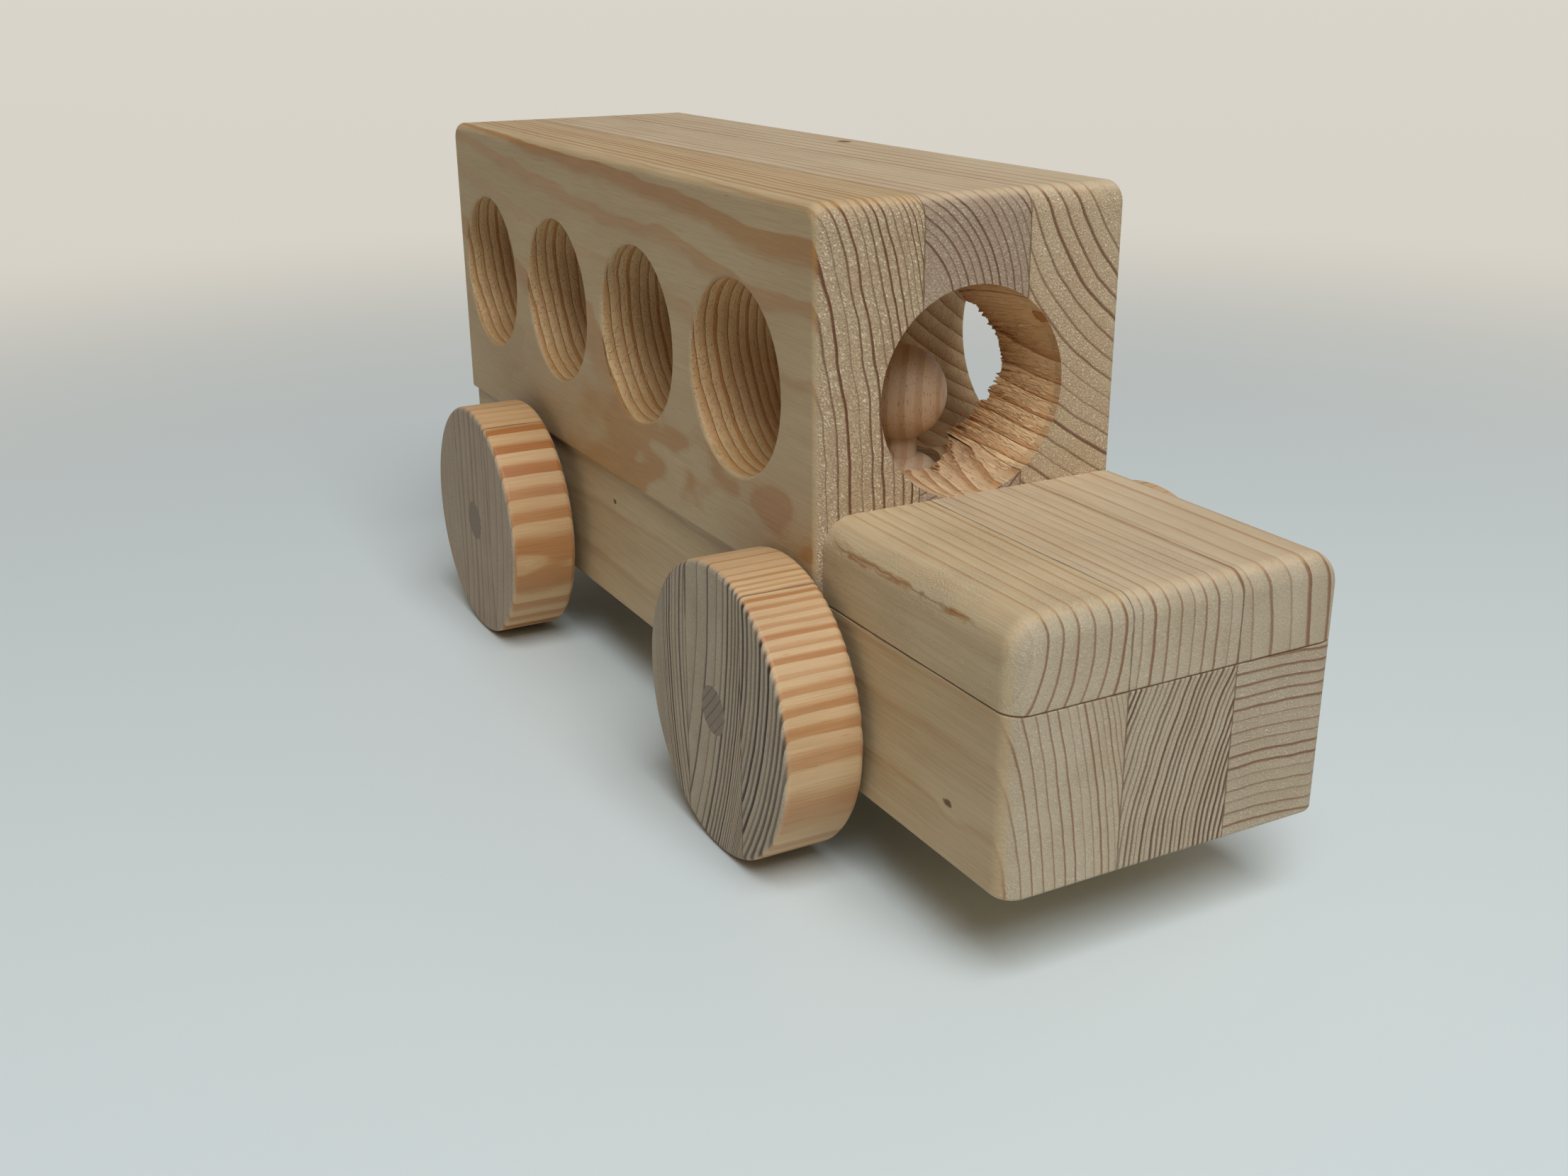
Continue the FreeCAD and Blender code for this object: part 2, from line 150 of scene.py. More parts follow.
class StageProperties(bpy.types.PropertyGroup):
    """Floor, light and camera."""

    floor: bpy.props.FloatVectorProperty(
        name="Floor", description="Plain pale floor",
        default=paint(221, 229, 228), **COLOUR)
    distance: bpy.props.FloatVectorProperty(
        name="Distance", description="Plain colour that the floor fades to, far from the bus",
        default=paint(208, 203, 192), **COLOUR)
    fade_start: bpy.props.FloatProperty(
        name="Fade start", description="Where the floor starts to fade, from the bus's middle",
        min=0, default=0.22, **LENGTH)
    fade_end: bpy.props.FloatProperty(
        name="Fade end", description="Where the floor has faded, from the bus's middle",
        min=0.1, default=0.85, **LENGTH)
    floor_radius: bpy.props.FloatProperty(
        name="Floor radius", description="How far the floor reaches",
        min=0.5, default=40.0, **LENGTH)
    sky: bpy.props.FloatVectorProperty(
        name="Surroundings", description="Colour of the soft light from all round",
        default=paint(224, 220, 215), **COLOUR)
    shade: bpy.props.FloatVectorProperty(
        name="Shaded side", description="Colour of the surroundings to the right of the bus",
        default=paint(156, 142, 124), **COLOUR)
    sky_strength: bpy.props.FloatProperty(
        name="Surroundings strength", description="Strength of the light from all round",
        min=0, max=2, default=0.34)
    window: bpy.props.FloatVectorProperty(
        name="Window", description="Colour of the soft light ahead of and above the bus",
        default=paint(243, 248, 253), **COLOUR)
    window_power: bpy.props.FloatProperty(
        name="Window power", description="Power of that light",
        subtype="POWER", unit="POWER", min=0, default=37.0)
    window_size: bpy.props.FloatProperty(
        name="Window size", description="Side of the soft light",
        min=0.1, default=1.3, **LENGTH)
    window_place: bpy.props.FloatVectorProperty(
        name="Window place", description="Where the soft light hangs",
        default=(1.09, -0.25, 1.73), **PLACE)
    viewpoint: bpy.props.FloatVectorProperty(
        name="Viewpoint", description="Where the camera stands",
        default=(0.32975, -0.18206, 0.16606), **PLACE)
    aim: bpy.props.FloatVectorProperty(
        name="Aim", description="Point at the middle of the picture",
        default=(0.03238, -0.02270, 0.04045), **PLACE)
    roll: bpy.props.FloatProperty(
        name="Roll", description="Tilt of the camera about its own line of sight",
        subtype="ANGLE", unit="ROTATION", default=math.radians(-0.43))
    lens: bpy.props.FloatProperty(
        name="Lens", description="Focal length for a sensor 36 mm wide",
        subtype="DISTANCE_CAMERA", unit="CAMERA", min=10, default=37.836)


# How each stave was sawn from its tree

class Figure(NamedTuple):
    """Rings of one stave, in millimetres along, across and up the stave.

    The rings are circles about the pith: first is the radius of the first one and spacing the
    step to the next. Lean and bow carry them outwards along the stave, and crowding adds rings
    towards the bark within the reach. Late is how wide the dark line of a ring is. Wobble and
    ripple are how far a ring strays, over the length of a hand and over a finger's width.
    Contrast and end contrast say how strong the lines are along the grain and on the cut ends,
    and depth how much of its colour the late wood of the cut ends keeps: less is darker.
    Thinning makes the lines of the cut ends narrower than those along the grain. Crumbs is how
    broken the cut ends are, and fuzz how rough the long faces were left. Tint, end tint and
    late tint colour the long faces, the cut ends and the dark lines along the grain.
    """

    pith: tuple
    first: float
    spacing: float
    crowding: float = 0.0
    reach: float = 24.0
    late: float = 0.45
    lean: float = 0.0
    bow: float = 0.0
    wobble: float = 0.7
    ripple: float = 0.22
    contrast: float = 0.6
    end_contrast: float = 0.9
    depth: float = 1.0
    crumbs: float = 0.3
    thinning: float = 0.0
    fuzz: float = 0.0
    tint: tuple = (1.0, 1.0, 1.0)
    end_tint: tuple = (1.0, 1.0, 1.0)
    late_tint: tuple = (1.0, 1.0, 1.0)


# Tints, which multiply the colours of the pine

STRAW = (0.95, 0.91, 0.83)
CREAM = (1.42, 1.31, 1.18)
ROSY = (1.04, 0.95, 0.95)
ASH = (0.92, 0.87, 0.89)
FROST = (1.05, 1.0, 1.01)
LINEN = (1.0, 1.01, 1.05)
OAT = (0.98, 0.97, 0.93)
HONEY = (1.0, 0.86, 0.73)
AMBER = (1.0, 0.82, 0.64)
TOFFEE = (1.15, 1.2, 0.9)

# What the three staves of one wheel have in common

FRONT_RIGHT = {"end_contrast": 1.0, "tint": HONEY, "end_tint": FROST}
FRONT_LEFT = {"wobble": 0.3, "contrast": 0.9, "depth": 0.5, "tint": HONEY, "end_tint": ASH}
REAR_RIGHT = {"tint": AMBER, "end_tint": ASH}
REAR_LEFT = {"wobble": 0.3, "contrast": 0.8, "tint": HONEY, "end_tint": ASH}

FIGURES = {
    "cabin_board_right": Figure(
        (-217, 50), 180.1, 2.65, crowding=2.5, reach=27.4, late=0.9, lean=0.0165, bow=-0.000066,
        wobble=1.2, ripple=0.5, contrast=0.76, end_contrast=1.0, depth=0.6, crumbs=1.05,
        thinning=0.45, tint=STRAW, end_tint=CREAM, late_tint=TOFFEE),
    "cabin_board_middle": Figure(
        (-26, 87), 18.9, 1.75, late=0.4, wobble=0.9, ripple=0.35, depth=0.65, crumbs=0.8,
        tint=LINEN, end_tint=ROSY),
    "cabin_board_left": Figure(
        (67, 127), 47.8, 3.35, late=0.65, wobble=1.0, ripple=0.4, depth=0.6, crumbs=0.9,
        thinning=0.15, tint=LINEN, end_tint=CREAM),
    "bonnet_stave_right": Figure(
        (-52, 46.5), 22.9, 3.2, late=0.5, wobble=0.9, ripple=0.3, contrast=0.5, fuzz=0.45, tint=OAT),
    "bonnet_stave_middle": Figure(
        (-80, 43), 70.5, 2.73, late=0.48, wobble=0.9, ripple=0.3, contrast=0.55, fuzz=0.35,
        tint=LINEN),
    "bonnet_stave_left": Figure(
        (-100, 31), 115.3, 4.5, late=0.75, ripple=0.3, contrast=0.55, tint=LINEN),
    "chassis_stave_right": Figure(
        (-195, -14), 161.0, 2.45, crowding=3, reach=25, late=0.36, wobble=0.8, ripple=0.3,
        contrast=0.32, end_contrast=0.85, tint=STRAW),
    "chassis_stave_middle": Figure(
        (95, -8), 80.0, 1.15, late=0.58, wobble=1.5, ripple=0.45, contrast=0.8, end_contrast=1.0,
        depth=0.5),
    "chassis_stave_left": Figure((13, -153), 155.7, 2.3, late=0.45, ripple=0.4, crumbs=0.5),
    "front_right_wheel_stave_fore": Figure(
        (-55.6, 20.2), 69.7, 1.7, late=0.95, wobble=0.2, contrast=0.8, depth=0.12, **FRONT_RIGHT),
    "front_right_wheel_stave_middle": Figure(
        (-135, 29), 123.9, 5.4, crowding=5, reach=24.8, late=0.75, wobble=0.3, contrast=0.7,
        depth=0.14, **FRONT_RIGHT),
    "front_right_wheel_stave_aft": Figure(
        (99, 8.3), 112.8, 1.8, crowding=5, reach=11.4, late=0.8, wobble=0.25, contrast=0.7,
        depth=0.14, **FRONT_RIGHT),
    "front_left_wheel_stave_fore": Figure((-40, -38), 48.0, 2.1, late=0.6, **FRONT_LEFT),
    "front_left_wheel_stave_middle": Figure((95, 12), 82.0, 3.4, late=0.65, **FRONT_LEFT),
    "front_left_wheel_stave_aft": Figure((-95, -20), 64.0, 1.9, late=0.6, **FRONT_LEFT),
    "rear_right_wheel_stave_fore": Figure(
        (-145.2, 23), 160.0, 5.3, crowding=1.75, reach=17.2, late=1.7, wobble=0.25, ripple=0.3,
        contrast=0.95, end_contrast=0.5, thinning=0.7, **REAR_RIGHT),
    "rear_right_wheel_stave_middle": Figure(
        (-600, 30), 588.3, 4.7, crowding=2, late=1.2, wobble=0.6, contrast=0.28, end_contrast=0.5,
        **REAR_RIGHT),
    "rear_right_wheel_stave_aft": Figure(
        (230, 0), 242.7, 3.7, late=0.8, wobble=0.6, contrast=0.7, end_contrast=0.25, **REAR_RIGHT),
    "rear_left_wheel_stave_fore": Figure((-60, 25), 70.0, 2.0, late=0.5, **REAR_LEFT),
    "rear_left_wheel_stave_middle": Figure((-90, -14), 78.0, 2.9, late=0.55, **REAR_LEFT),
    "rear_left_wheel_stave_aft": Figure((80, 8), 91.0, 2.6, late=0.55, **REAR_LEFT),
    "driver": Figure((0, -70), 60.0, 3.4, late=1.2, wobble=0.5),
    "front_axle": Figure((-60, 60), 81.5, 1.8, late=0.4, wobble=0.2, ripple=0.1),
    "rear_axle": Figure((55, 70), 85.5, 1.8, late=0.4, wobble=0.2, ripple=0.1),
}

# How far apart the noise of two pieces starts

SEED_STEP = 13.7

# Pin knots: the face they show on, their place along it and across it, and their radius

KNOTS = {
    "chassis_stave_right": (("side", 116.9, 11.6, 0.9), ("side", -30.3, 26.6, 0.7)),
    "cabin_board_left": (("top", -26.0, 26.0, 1.9),),
}

# Which faces of a stave are glued: the lower one, the higher one, or both; and a height, in
# millimetres, for the bed of a stave that lies on none

GLUED_FACES = {
    "right": (1,),
    "middle": (0, 1),
    "left": (0,),
    "fore": (0,),
    "aft": (1,),
}
NO_BED = -1000.0

# The crease that the saw left: where it starts and ends along its stave, its height at the
# start, how fast it falls towards the nose, and how dark its edge is beside a ring's line

CREASED_STAVE = "bonnet_stave_right"
CREASE = {"Start": 74.0, "End": 128.0, "Height": 47.4, "Fall": 0.012}
CREASE_DARKNESS = 1.8

# Radii of the cabin's bores, in millimetres, and how much end grain shows in their walls

WINDOW_RADIUS = 20.0
WINDSCREEN_RADIUS = 21.0
END_IN_WALL = 0.4


class Lie(NamedTuple):
    """How a stave lies: its own along, across and up in the bus's axes, and where they start."""

    axes: tuple
    origin: tuple = (0.0, 0.0, 0.0)


def board_lie():
    """Boards lie along X; their heights count from the underside of the chassis."""
    return Lie((0, 1, 2), (0.0, 0.0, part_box("chassis_stave_middle")[0].z))


def wheel_lie(end):
    """Wheels are slices across the grain, with their glue lines across X, from the axle."""
    low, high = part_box(f"{end}_axle")
    centre = (low + high) / 2
    return Lie((1, 0, 2), (centre.x, 0.0, centre.z))


def axle_lie(end):
    """Dowels have their grain along Y, about their own centre."""
    low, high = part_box(f"{end}_axle")
    return Lie((1, 0, 2), tuple((low + high) / 2))


def driver_lie():
    """The driver's grain runs upwards."""
    return Lie((2, 0, 1))


# Wiring of shader nodes

class Wiring:
    """Adds nodes to one shader tree and hands back their output sockets."""

    def __init__(self, tree):
        self.tree = tree

    def feed(self, sockets, values):
        """Link or set several sockets, each by its name or number."""
        for name, value in values.items():
            if isinstance(value, bpy.types.NodeSocket):
                self.tree.links.new(value, sockets[name])
            else:
                sockets[name].default_value = value

    def node(self, kind, inputs=None, output=0, **settings):
        node = self.tree.nodes.new(kind)
        for name, value in settings.items():
            setattr(node, name, value)
        self.feed(node.inputs, inputs or {})
        return node.outputs[output]

    def calc(self, operation, *values):
        return self.node("ShaderNodeMath", dict(enumerate(values)), operation=operation)

    def total(self, result, *others):
        """The sum of several values."""
        for value in others:
            result = self.calc("ADD", result, value)
        return result

    def product(self, result, *others):
        """The product of several values."""
        for value in others:
            result = self.calc("MULTIPLY", result, value)
        return result

    def fade(self, value, start, end, low=0.0, high=1.0):
        """Low before start, high after end and a smooth step between them."""
        inputs = {"Value": value, "From Min": start, "From Max": end, "To Min": low, "To Max": high}
        return self.node("ShaderNodeMapRange", inputs, interpolation_type="SMOOTHSTEP")

    def vector(self, operation, *values, output=0):
        return self.node("ShaderNodeVectorMath", dict(enumerate(values)), output, operation=operation)

    def split(self, vector):
        return tuple(self.node("ShaderNodeSeparateXYZ", {0: vector}).node.outputs)

    def join(self, x, y, z):
        return self.node("ShaderNodeCombineXYZ", {"X": x, "Y": y, "Z": z})

    def noise(self, point, along, across, seed, detail=2.0, roughness=0.5):
        """Soft noise from 0 to 1 whose features are this long and this wide, in millimetres."""
        scaled = self.vector("MULTIPLY", point, (1 / along, 1 / across, 1 / across))
        moved = self.vector("ADD", scaled, self.join(seed, seed, seed))
        inputs = {"Vector": moved, "Scale": 1.0, "Detail": detail, "Roughness": roughness}
        return self.node("ShaderNodeTexNoise", inputs, "Fac")

    def swing(self, noise, reach):
        """Noise as a sway to either side, at most this far."""
        return self.product(self.calc("SUBTRACT", noise, 0.5), 2.0, reach)

    def blend(self, share, first, second, mode="MIX"):
        """Mix two colours by a share."""
        return self.node("ShaderNodeMix", {0: share, 6: first, 7: second}, 2,
                         data_type="RGBA", blend_type=mode, clamp_factor=True)

    def bump(self, height, distance):
        """The normal of a surface with this relief, whose full height is the distance."""
        return self.node("ShaderNodeBump", {"Height": height, "Distance": distance, "Strength": 1.0})

    def group(self, name, inputs):
        """Place a node group and hand back its outputs by name."""
        placed = self.node("ShaderNodeGroup", inputs, node_tree=bpy.data.node_groups[name]).node
        return {socket.name: socket for socket in placed.outputs}


SOCKETS = {"value": "NodeSocketFloat", "point": "NodeSocketVector", "colour": "NodeSocketColor"}


def new_group(name, inputs, outputs):
    """An empty node group with named sockets: its wiring, what it is given and what it returns."""
    tree = bpy.data.node_groups.new(name, "ShaderNodeTree")
    for way, sockets in (("INPUT", inputs), ("OUTPUT", outputs)):
        for kind, labels in sockets.items():
            for label in labels:
                tree.interface.new_socket(label, in_out=way, socket_type=SOCKETS[kind])
    given = tree.nodes.new("NodeGroupInput").outputs
    result = tree.nodes.new("NodeGroupOutput").inputs
    return Wiring(tree), {socket.name: socket for socket in given if socket.name}, result


# Node groups: effects that several finishes share

# How steeply rings crowd towards the bark, the widest share of a ring that its dark line takes,
# the narrowest line of any year and how much wider others are, and the line's soft inner side

CROWD_POWER = 4.5
WIDEST_SHARE = 0.52
NARROWEST_YEAR, YEAR_RANGE = 0.6, 0.8
LINE_SOFTNESS = 0.35

# Millimetres by which a line frays, and over which its outer side ends

LINE_FRAY = 0.05
LINE_EDGE = 0.15


def build_growth_rings():
    """Annual rings about the pith, with the tone of each year and the season within it."""
    wiring, given, result = new_group("Growth rings", {
        "point": ("Stave Point",),
        "value": ("Pith Across", "Pith Up", "Lean", "Bow", "First Ring", "Spacing", "Crowding",
                  "Crowding Reach", "Late Width", "Wobble", "Ripple", "Thinning", "Push", "Seed"),
    }, {"value": ("Late Wood", "Year Tone", "Season")})
    calc = wiring.calc
    point, seed = given["Stave Point"], given["Seed"]
    along, across, up = wiring.split(point)
    from_pith = wiring.join(
        calc("SUBTRACT", across, given["Pith Across"]), calc("SUBTRACT", up, given["Pith Up"]), 0.0)
    radius = wiring.vector("LENGTH", from_pith, output="Value")
    bow = wiring.product(along, along, given["Bow"])
    lean = wiring.product(along, given["Lean"])
    hand = wiring.noise(point, along=70.0, across=26.0, seed=seed, detail=1.5)
    finger = wiring.noise(point, along=15.0, across=8.0, seed=seed, detail=1.0)
    fibres = wiring.noise(point, along=9.0, across=1.1, seed=seed)
    outwards = wiring.total(
        radius, bow, lean, wiring.swing(hand, given["Wobble"]), wiring.swing(finger, given["Ripple"]),
        wiring.swing(fibres, LINE_FRAY), given["Push"])

    reach = calc("SUBTRACT", outwards, given["First Ring"])
    crowd_share = calc("MAXIMUM", calc("DIVIDE", reach, given["Crowding Reach"]), 0.0)
    crowd = wiring.product(given["Crowding"], calc("POWER", crowd_share, CROWD_POWER))
    years = calc("ADD", calc("DIVIDE", reach, given["Spacing"]), crowd)
    crowd_rate = wiring.product(
        given["Crowding"], CROWD_POWER, calc("POWER", crowd_share, CROWD_POWER - 1))
    rate = calc("ADD", calc("DIVIDE", 1.0, given["Spacing"]),
                calc("DIVIDE", crowd_rate, given["Crowding Reach"]))
    year = calc("FLOOR", years)
    season = calc("SUBTRACT", years, year)
    tone = wiring.node("ShaderNodeTexWhiteNoise", {"W": calc("ADD", year, seed)}, "Value",
                       noise_dimensions="1D")

    depth = calc("DIVIDE", calc("SUBTRACT", 1.0, season), rate)
    full_width = wiring.product(
        given["Late Width"], calc("MULTIPLY_ADD", tone, YEAR_RANGE, NARROWEST_YEAR))
    widest = calc("MINIMUM", full_width, calc("DIVIDE", WIDEST_SHARE, rate))
    width = wiring.product(widest, calc("SUBTRACT", 1.0, given["Thinning"]))
    inner = wiring.fade(
        depth, wiring.product(width, 1 + LINE_SOFTNESS), wiring.product(width, 1 - LINE_SOFTNESS))
    outer = wiring.fade(depth, 0.0, LINE_EDGE)
    grown = wiring.fade(years, -0.6, -0.5)
    wiring.feed(result, {
        "Late Wood": wiring.product(inner, outer, grown), "Year Tone": tone, "Season": season})


def build_wood_fibre():
    """Fine streaks along the grain, sparse short dark dashes among them, and soft clouds."""
    wiring, given, result = new_group(
        "Wood fibre", {"point": ("Stave Point",), "value": ("Size", "Seed")},
        {"value": ("Streak", "Dash", "Cloud")})
    point, seed = given["Stave Point"], given["Seed"]
    share = wiring.calc("DIVIDE", 1.0, given["Size"])
    sized = wiring.node("ShaderNodeVectorMath", {0: point, "Scale": share}, operation="SCALE")
    streak = wiring.noise(sized, along=34.0, across=1.0, seed=seed, detail=4.0, roughness=0.62)
    dash = wiring.noise(point, along=4.2, across=0.42, seed=seed, detail=0.5)
    cloud = wiring.noise(point, along=42.0, across=9.0, seed=seed, detail=2.5)
    wiring.feed(result, {
        "Streak": wiring.fade(streak, 0.28, 0.72),
        "Dash": wiring.fade(dash, 0.76, 0.83),
        "Cloud": wiring.fade(cloud, 0.25, 0.75)})


def build_end_grain():
    """Where a surface cuts the fibres across, with its crumbs and painted glints of light that stand up
    a little.
    """
    wiring, given, result = new_group(
        "End grain", {"point": ("Stave Point", "Surface", "Grain"), "value": ("Seed",)},
        {"value": ("End", "Crumb", "Speck And Painted Glint")})
    point, seed = given["Stave Point"], given["Seed"]
    facing = wiring.vector("DOT_PRODUCT", given["Surface"], given["Grain"], output="Value")
    along, across, up = wiring.split(point)
    slant = wiring.join(
        along, wiring.total(across, up), wiring.product(wiring.calc("SUBTRACT", up, across), 0.45))
    crumb = wiring.noise(point, along=0.5, across=0.42, seed=seed, detail=3.0, roughness=0.7)
    # Spots of painted highlight: glints of light on the cut fibres
    glint_speck_noise = wiring.noise(slant, along=0.5, across=0.4, seed=seed, roughness=0.6)
    patch = wiring.noise(point, along=7.0, across=5.0, seed=seed)
    wiring.feed(result, {
        "End": wiring.fade(wiring.calc("ABSOLUTE", facing), 0.42, 0.86),
        "Crumb": wiring.fade(crumb, 0.3, 0.7),
        "Speck And Painted Glint": wiring.product(wiring.fade(glint_speck_noise, 0.54, 0.62), wiring.fade(patch, 0.25, 0.55))})


def build_glue_lines():
    """Thin glue lines where a stave meets its neighbours, and painted shade in the seam of the bed
    between chassis and bodywork.
    """
    wiring, given, result = new_group(
        "Glue lines", {"point": ("Stave Point",),
                       "value": ("First Seam", "Second Seam", "Bed", "Half Width", "Seed")},
        {"value": ("Glue",)})
    point = given["Stave Point"]
    _, across, up = wiring.split(point)
    first, second, bed = (
        wiring.calc("ABSOLUTE", wiring.calc("SUBTRACT", place, given[seam]))
        for place, seam in ((across, "First Seam"), (across, "Second Seam"), (up, "Bed")))
    nearest = wiring.calc("MINIMUM", wiring.calc("MINIMUM", first, second), bed)
    uneven = wiring.noise(point, along=9.0, across=3.0, seed=given["Seed"])
    width = wiring.product(given["Half Width"], wiring.fade(uneven, 0.3, 0.7, 0.45, 1.5))
    # The bed's line is painted shade in the open seam; the stave seams are glue
    wiring.feed(result, {"Glue": wiring.fade(nearest, width, wiring.product(width, 0.2))})


def build_pin_knot():
    """A small knot that runs in from a long face, and the way it pushes the rings aside."""
    wiring, given, result = new_group(
        "Pin knot", {"point": ("Stave Point",), "value": ("Along", "Up", "Radius")},
        {"value": ("Knot", "Push")})
    radius = given["Radius"]
    along, _, up = wiring.split(given["Stave Point"])
    drawn_out = wiring.product(wiring.calc("SUBTRACT", along, given["Along"]), 0.6)
    flat = wiring.join(drawn_out, wiring.calc("SUBTRACT", up, given["Up"]), 0.0)
    distance = wiring.vector("LENGTH", flat, output="Value")
    ragged = wiring.noise(given["Stave Point"], along=1.6, across=1.2, seed=3.0)
    edge = wiring.total(distance, wiring.swing(ragged, 0.55))
    push = wiring.fade(distance, wiring.product(radius, 5.0), 0.0)
    wiring.feed(result, {
        "Knot": wiring.fade(edge, radius, wiring.product(radius, 0.5)),
        "Push": wiring.product(push, radius, 0.3)})


def build_bored_wall():
    """The walls of the side windows and the windscreen, where the drill left torn fibres."""
    wiring, given, result = new_group("Bored wall", {
        "point": ("Stave Point", "Surface"),
        "value": ("First Window", "Pitch", "Height", "Radius", "Windscreen Across",
                  "Windscreen Radius", "Seed"),
    }, {"value": ("Wall", "Torn")})
    calc = wiring.calc
    point, first = given["Stave Point"], given["First Window"]
    along, across, up = wiring.split(point)
    facing_front, facing_side, _ = wiring.split(given["Surface"])
    count = calc("ROUND", calc("DIVIDE", calc("SUBTRACT", first, along), given["Pitch"]))
    back = wiring.product(calc("MAXIMUM", count, 0.0), given["Pitch"])
    from_window = calc("SUBTRACT", along, calc("SUBTRACT", first, back))
    from_windscreen = calc("SUBTRACT", across, given["Windscreen Across"])
    lift = calc("SUBTRACT", up, given["Height"])
    bores = (
        (from_window, given["Radius"], facing_side),
        (from_windscreen, given["Windscreen Radius"], facing_front),
    )
    walls = []
    for aside, drilled, facing in bores:
        radius = wiring.vector("LENGTH", wiring.join(aside, lift, 0.0), output="Value")
        off = calc("ABSOLUTE", calc("SUBTRACT", radius, drilled))
        inside = wiring.fade(calc("ABSOLUTE", facing), 0.7, 0.3)
        walls.append(wiring.product(wiring.fade(off, 0.6, 0.2), inside))
    ahead = wiring.fade(along, first, wiring.total(first, 3.0))
    wall = calc("MAXIMUM", walls[0], wiring.product(walls[1], ahead))
    torn = wiring.noise(point, along=5.0, across=0.8, seed=given["Seed"], detail=3.0, roughness=0.6)
    wiring.feed(result, {"Wall": wall, "Torn": wiring.product(wall, wiring.fade(torn, 0.5, 0.72))})


def build_torn_fibres():
    """Long fibres that the drill pulled out of the wood."""
    wiring, given, result = new_group(
        "Torn fibres", {"point": ("Stave Point",), "value": ("Seed",)}, {"value": ("Torn",)})
    fibres = wiring.noise(
        given["Stave Point"], along=6.0, across=0.7, seed=given["Seed"], detail=3.0, roughness=0.6)
    wiring.feed(result, {"Torn": wiring.fade(fibres, 0.5, 0.64)})


def build_saw_crease():
    """A ragged crease along a stave: its dark, broken edge and the fine cut in it."""
    wiring, given, result = new_group(
        "Saw crease", {"point": ("Stave Point",), "value": ("Start", "End", "Height", "Fall", "Seed")},
        {"value": ("Edge", "Cut")})
    point, seed, start, end = (given[name] for name in ("Stave Point", "Seed", "Start", "End"))
    along, _, up = wiring.split(point)
    uneven = wiring.noise(point, along=11.0, across=4.0, seed=seed, detail=3.0, roughness=0.65)
    fall = wiring.product(wiring.calc("SUBTRACT", along, start), given["Fall"])
    lift = wiring.calc("SUBTRACT", wiring.total(up, fall, wiring.swing(uneven, 1.5)), given["Height"])
    off = wiring.calc("ABSOLUTE", lift)
    gaps = wiring.noise(point, along=6.0, across=6.0, seed=wiring.total(seed, 5.0))
    run = wiring.product(wiring.fade(along, start, wiring.total(start, 6.0)),
                         wiring.fade(along, end, wiring.total(end, -12.0)))
    wiring.feed(result, {
        "Edge": wiring.product(wiring.fade(off, 0.9, 0.4), wiring.fade(gaps, 0.36, 0.5), run),
        "Cut": wiring.product(wiring.fade(off, 0.3, 0.08), run, 0.6)})


def build_rough_patches():
    """Patches of a long face that the plane left fuzzy."""
    wiring, given, result = new_group(
        "Rough patches", {"point": ("Stave Point",), "value": ("Strength", "Seed")},
        {"value": ("Fuzz",)})
    patch = wiring.noise(
        given["Stave Point"], along=16.0, across=9.0, seed=wiring.total(given["Seed"], 2.0))
    wiring.feed(result, {"Fuzz": wiring.product(wiring.fade(patch, 0.3, 0.75), given["Strength"])})


# Shades that multiply or cover the pine, and how strongly each mark shows

STREAK_SHADE = paint(170, 132, 94)
CLOUD_SHADE = paint(224, 207, 192)
# A painted highlight: the near-white of glints on the cut ends
PAINTED_GLINT_COLOUR = paint(240, 228, 206)
DRILLED_SHADE = (1.13, 1.06, 0.94)
FRESH_SHADE = (1.22, 1.17, 1.12)
SHOWN = {
    "Streak": 0.22, "Cloud": 0.34, "Dash": 0.45, "Pit": 0.42, "Speck And Painted Glint": 0.75, "Torn": 0.5, "Glue": 0.75,
}

# How much the early wood darkens before its late line, and how high the line stands: on a
# sanded face, and in a drilled wall

RIPENING = (0.16, 0.85)
RIPENING_POWER = 1.6
RIDGE = (0.16, 0.9)

# How far each mark stands out, as a share of the relief

RAISED = {"Streak": 0.10, "Crumb": 0.8, "Speck And Painted Glint": 0.6, "Torn": 0.9, "Glue": -0.3}

# Roughness of the early wood, and what late wood, end grain and drilled walls add to it

PINE_ROUGHNESS, LATE_POLISH, END_DULLNESS, WALL_DULLNESS = 0.56, -0.12, 0.14, 0.1


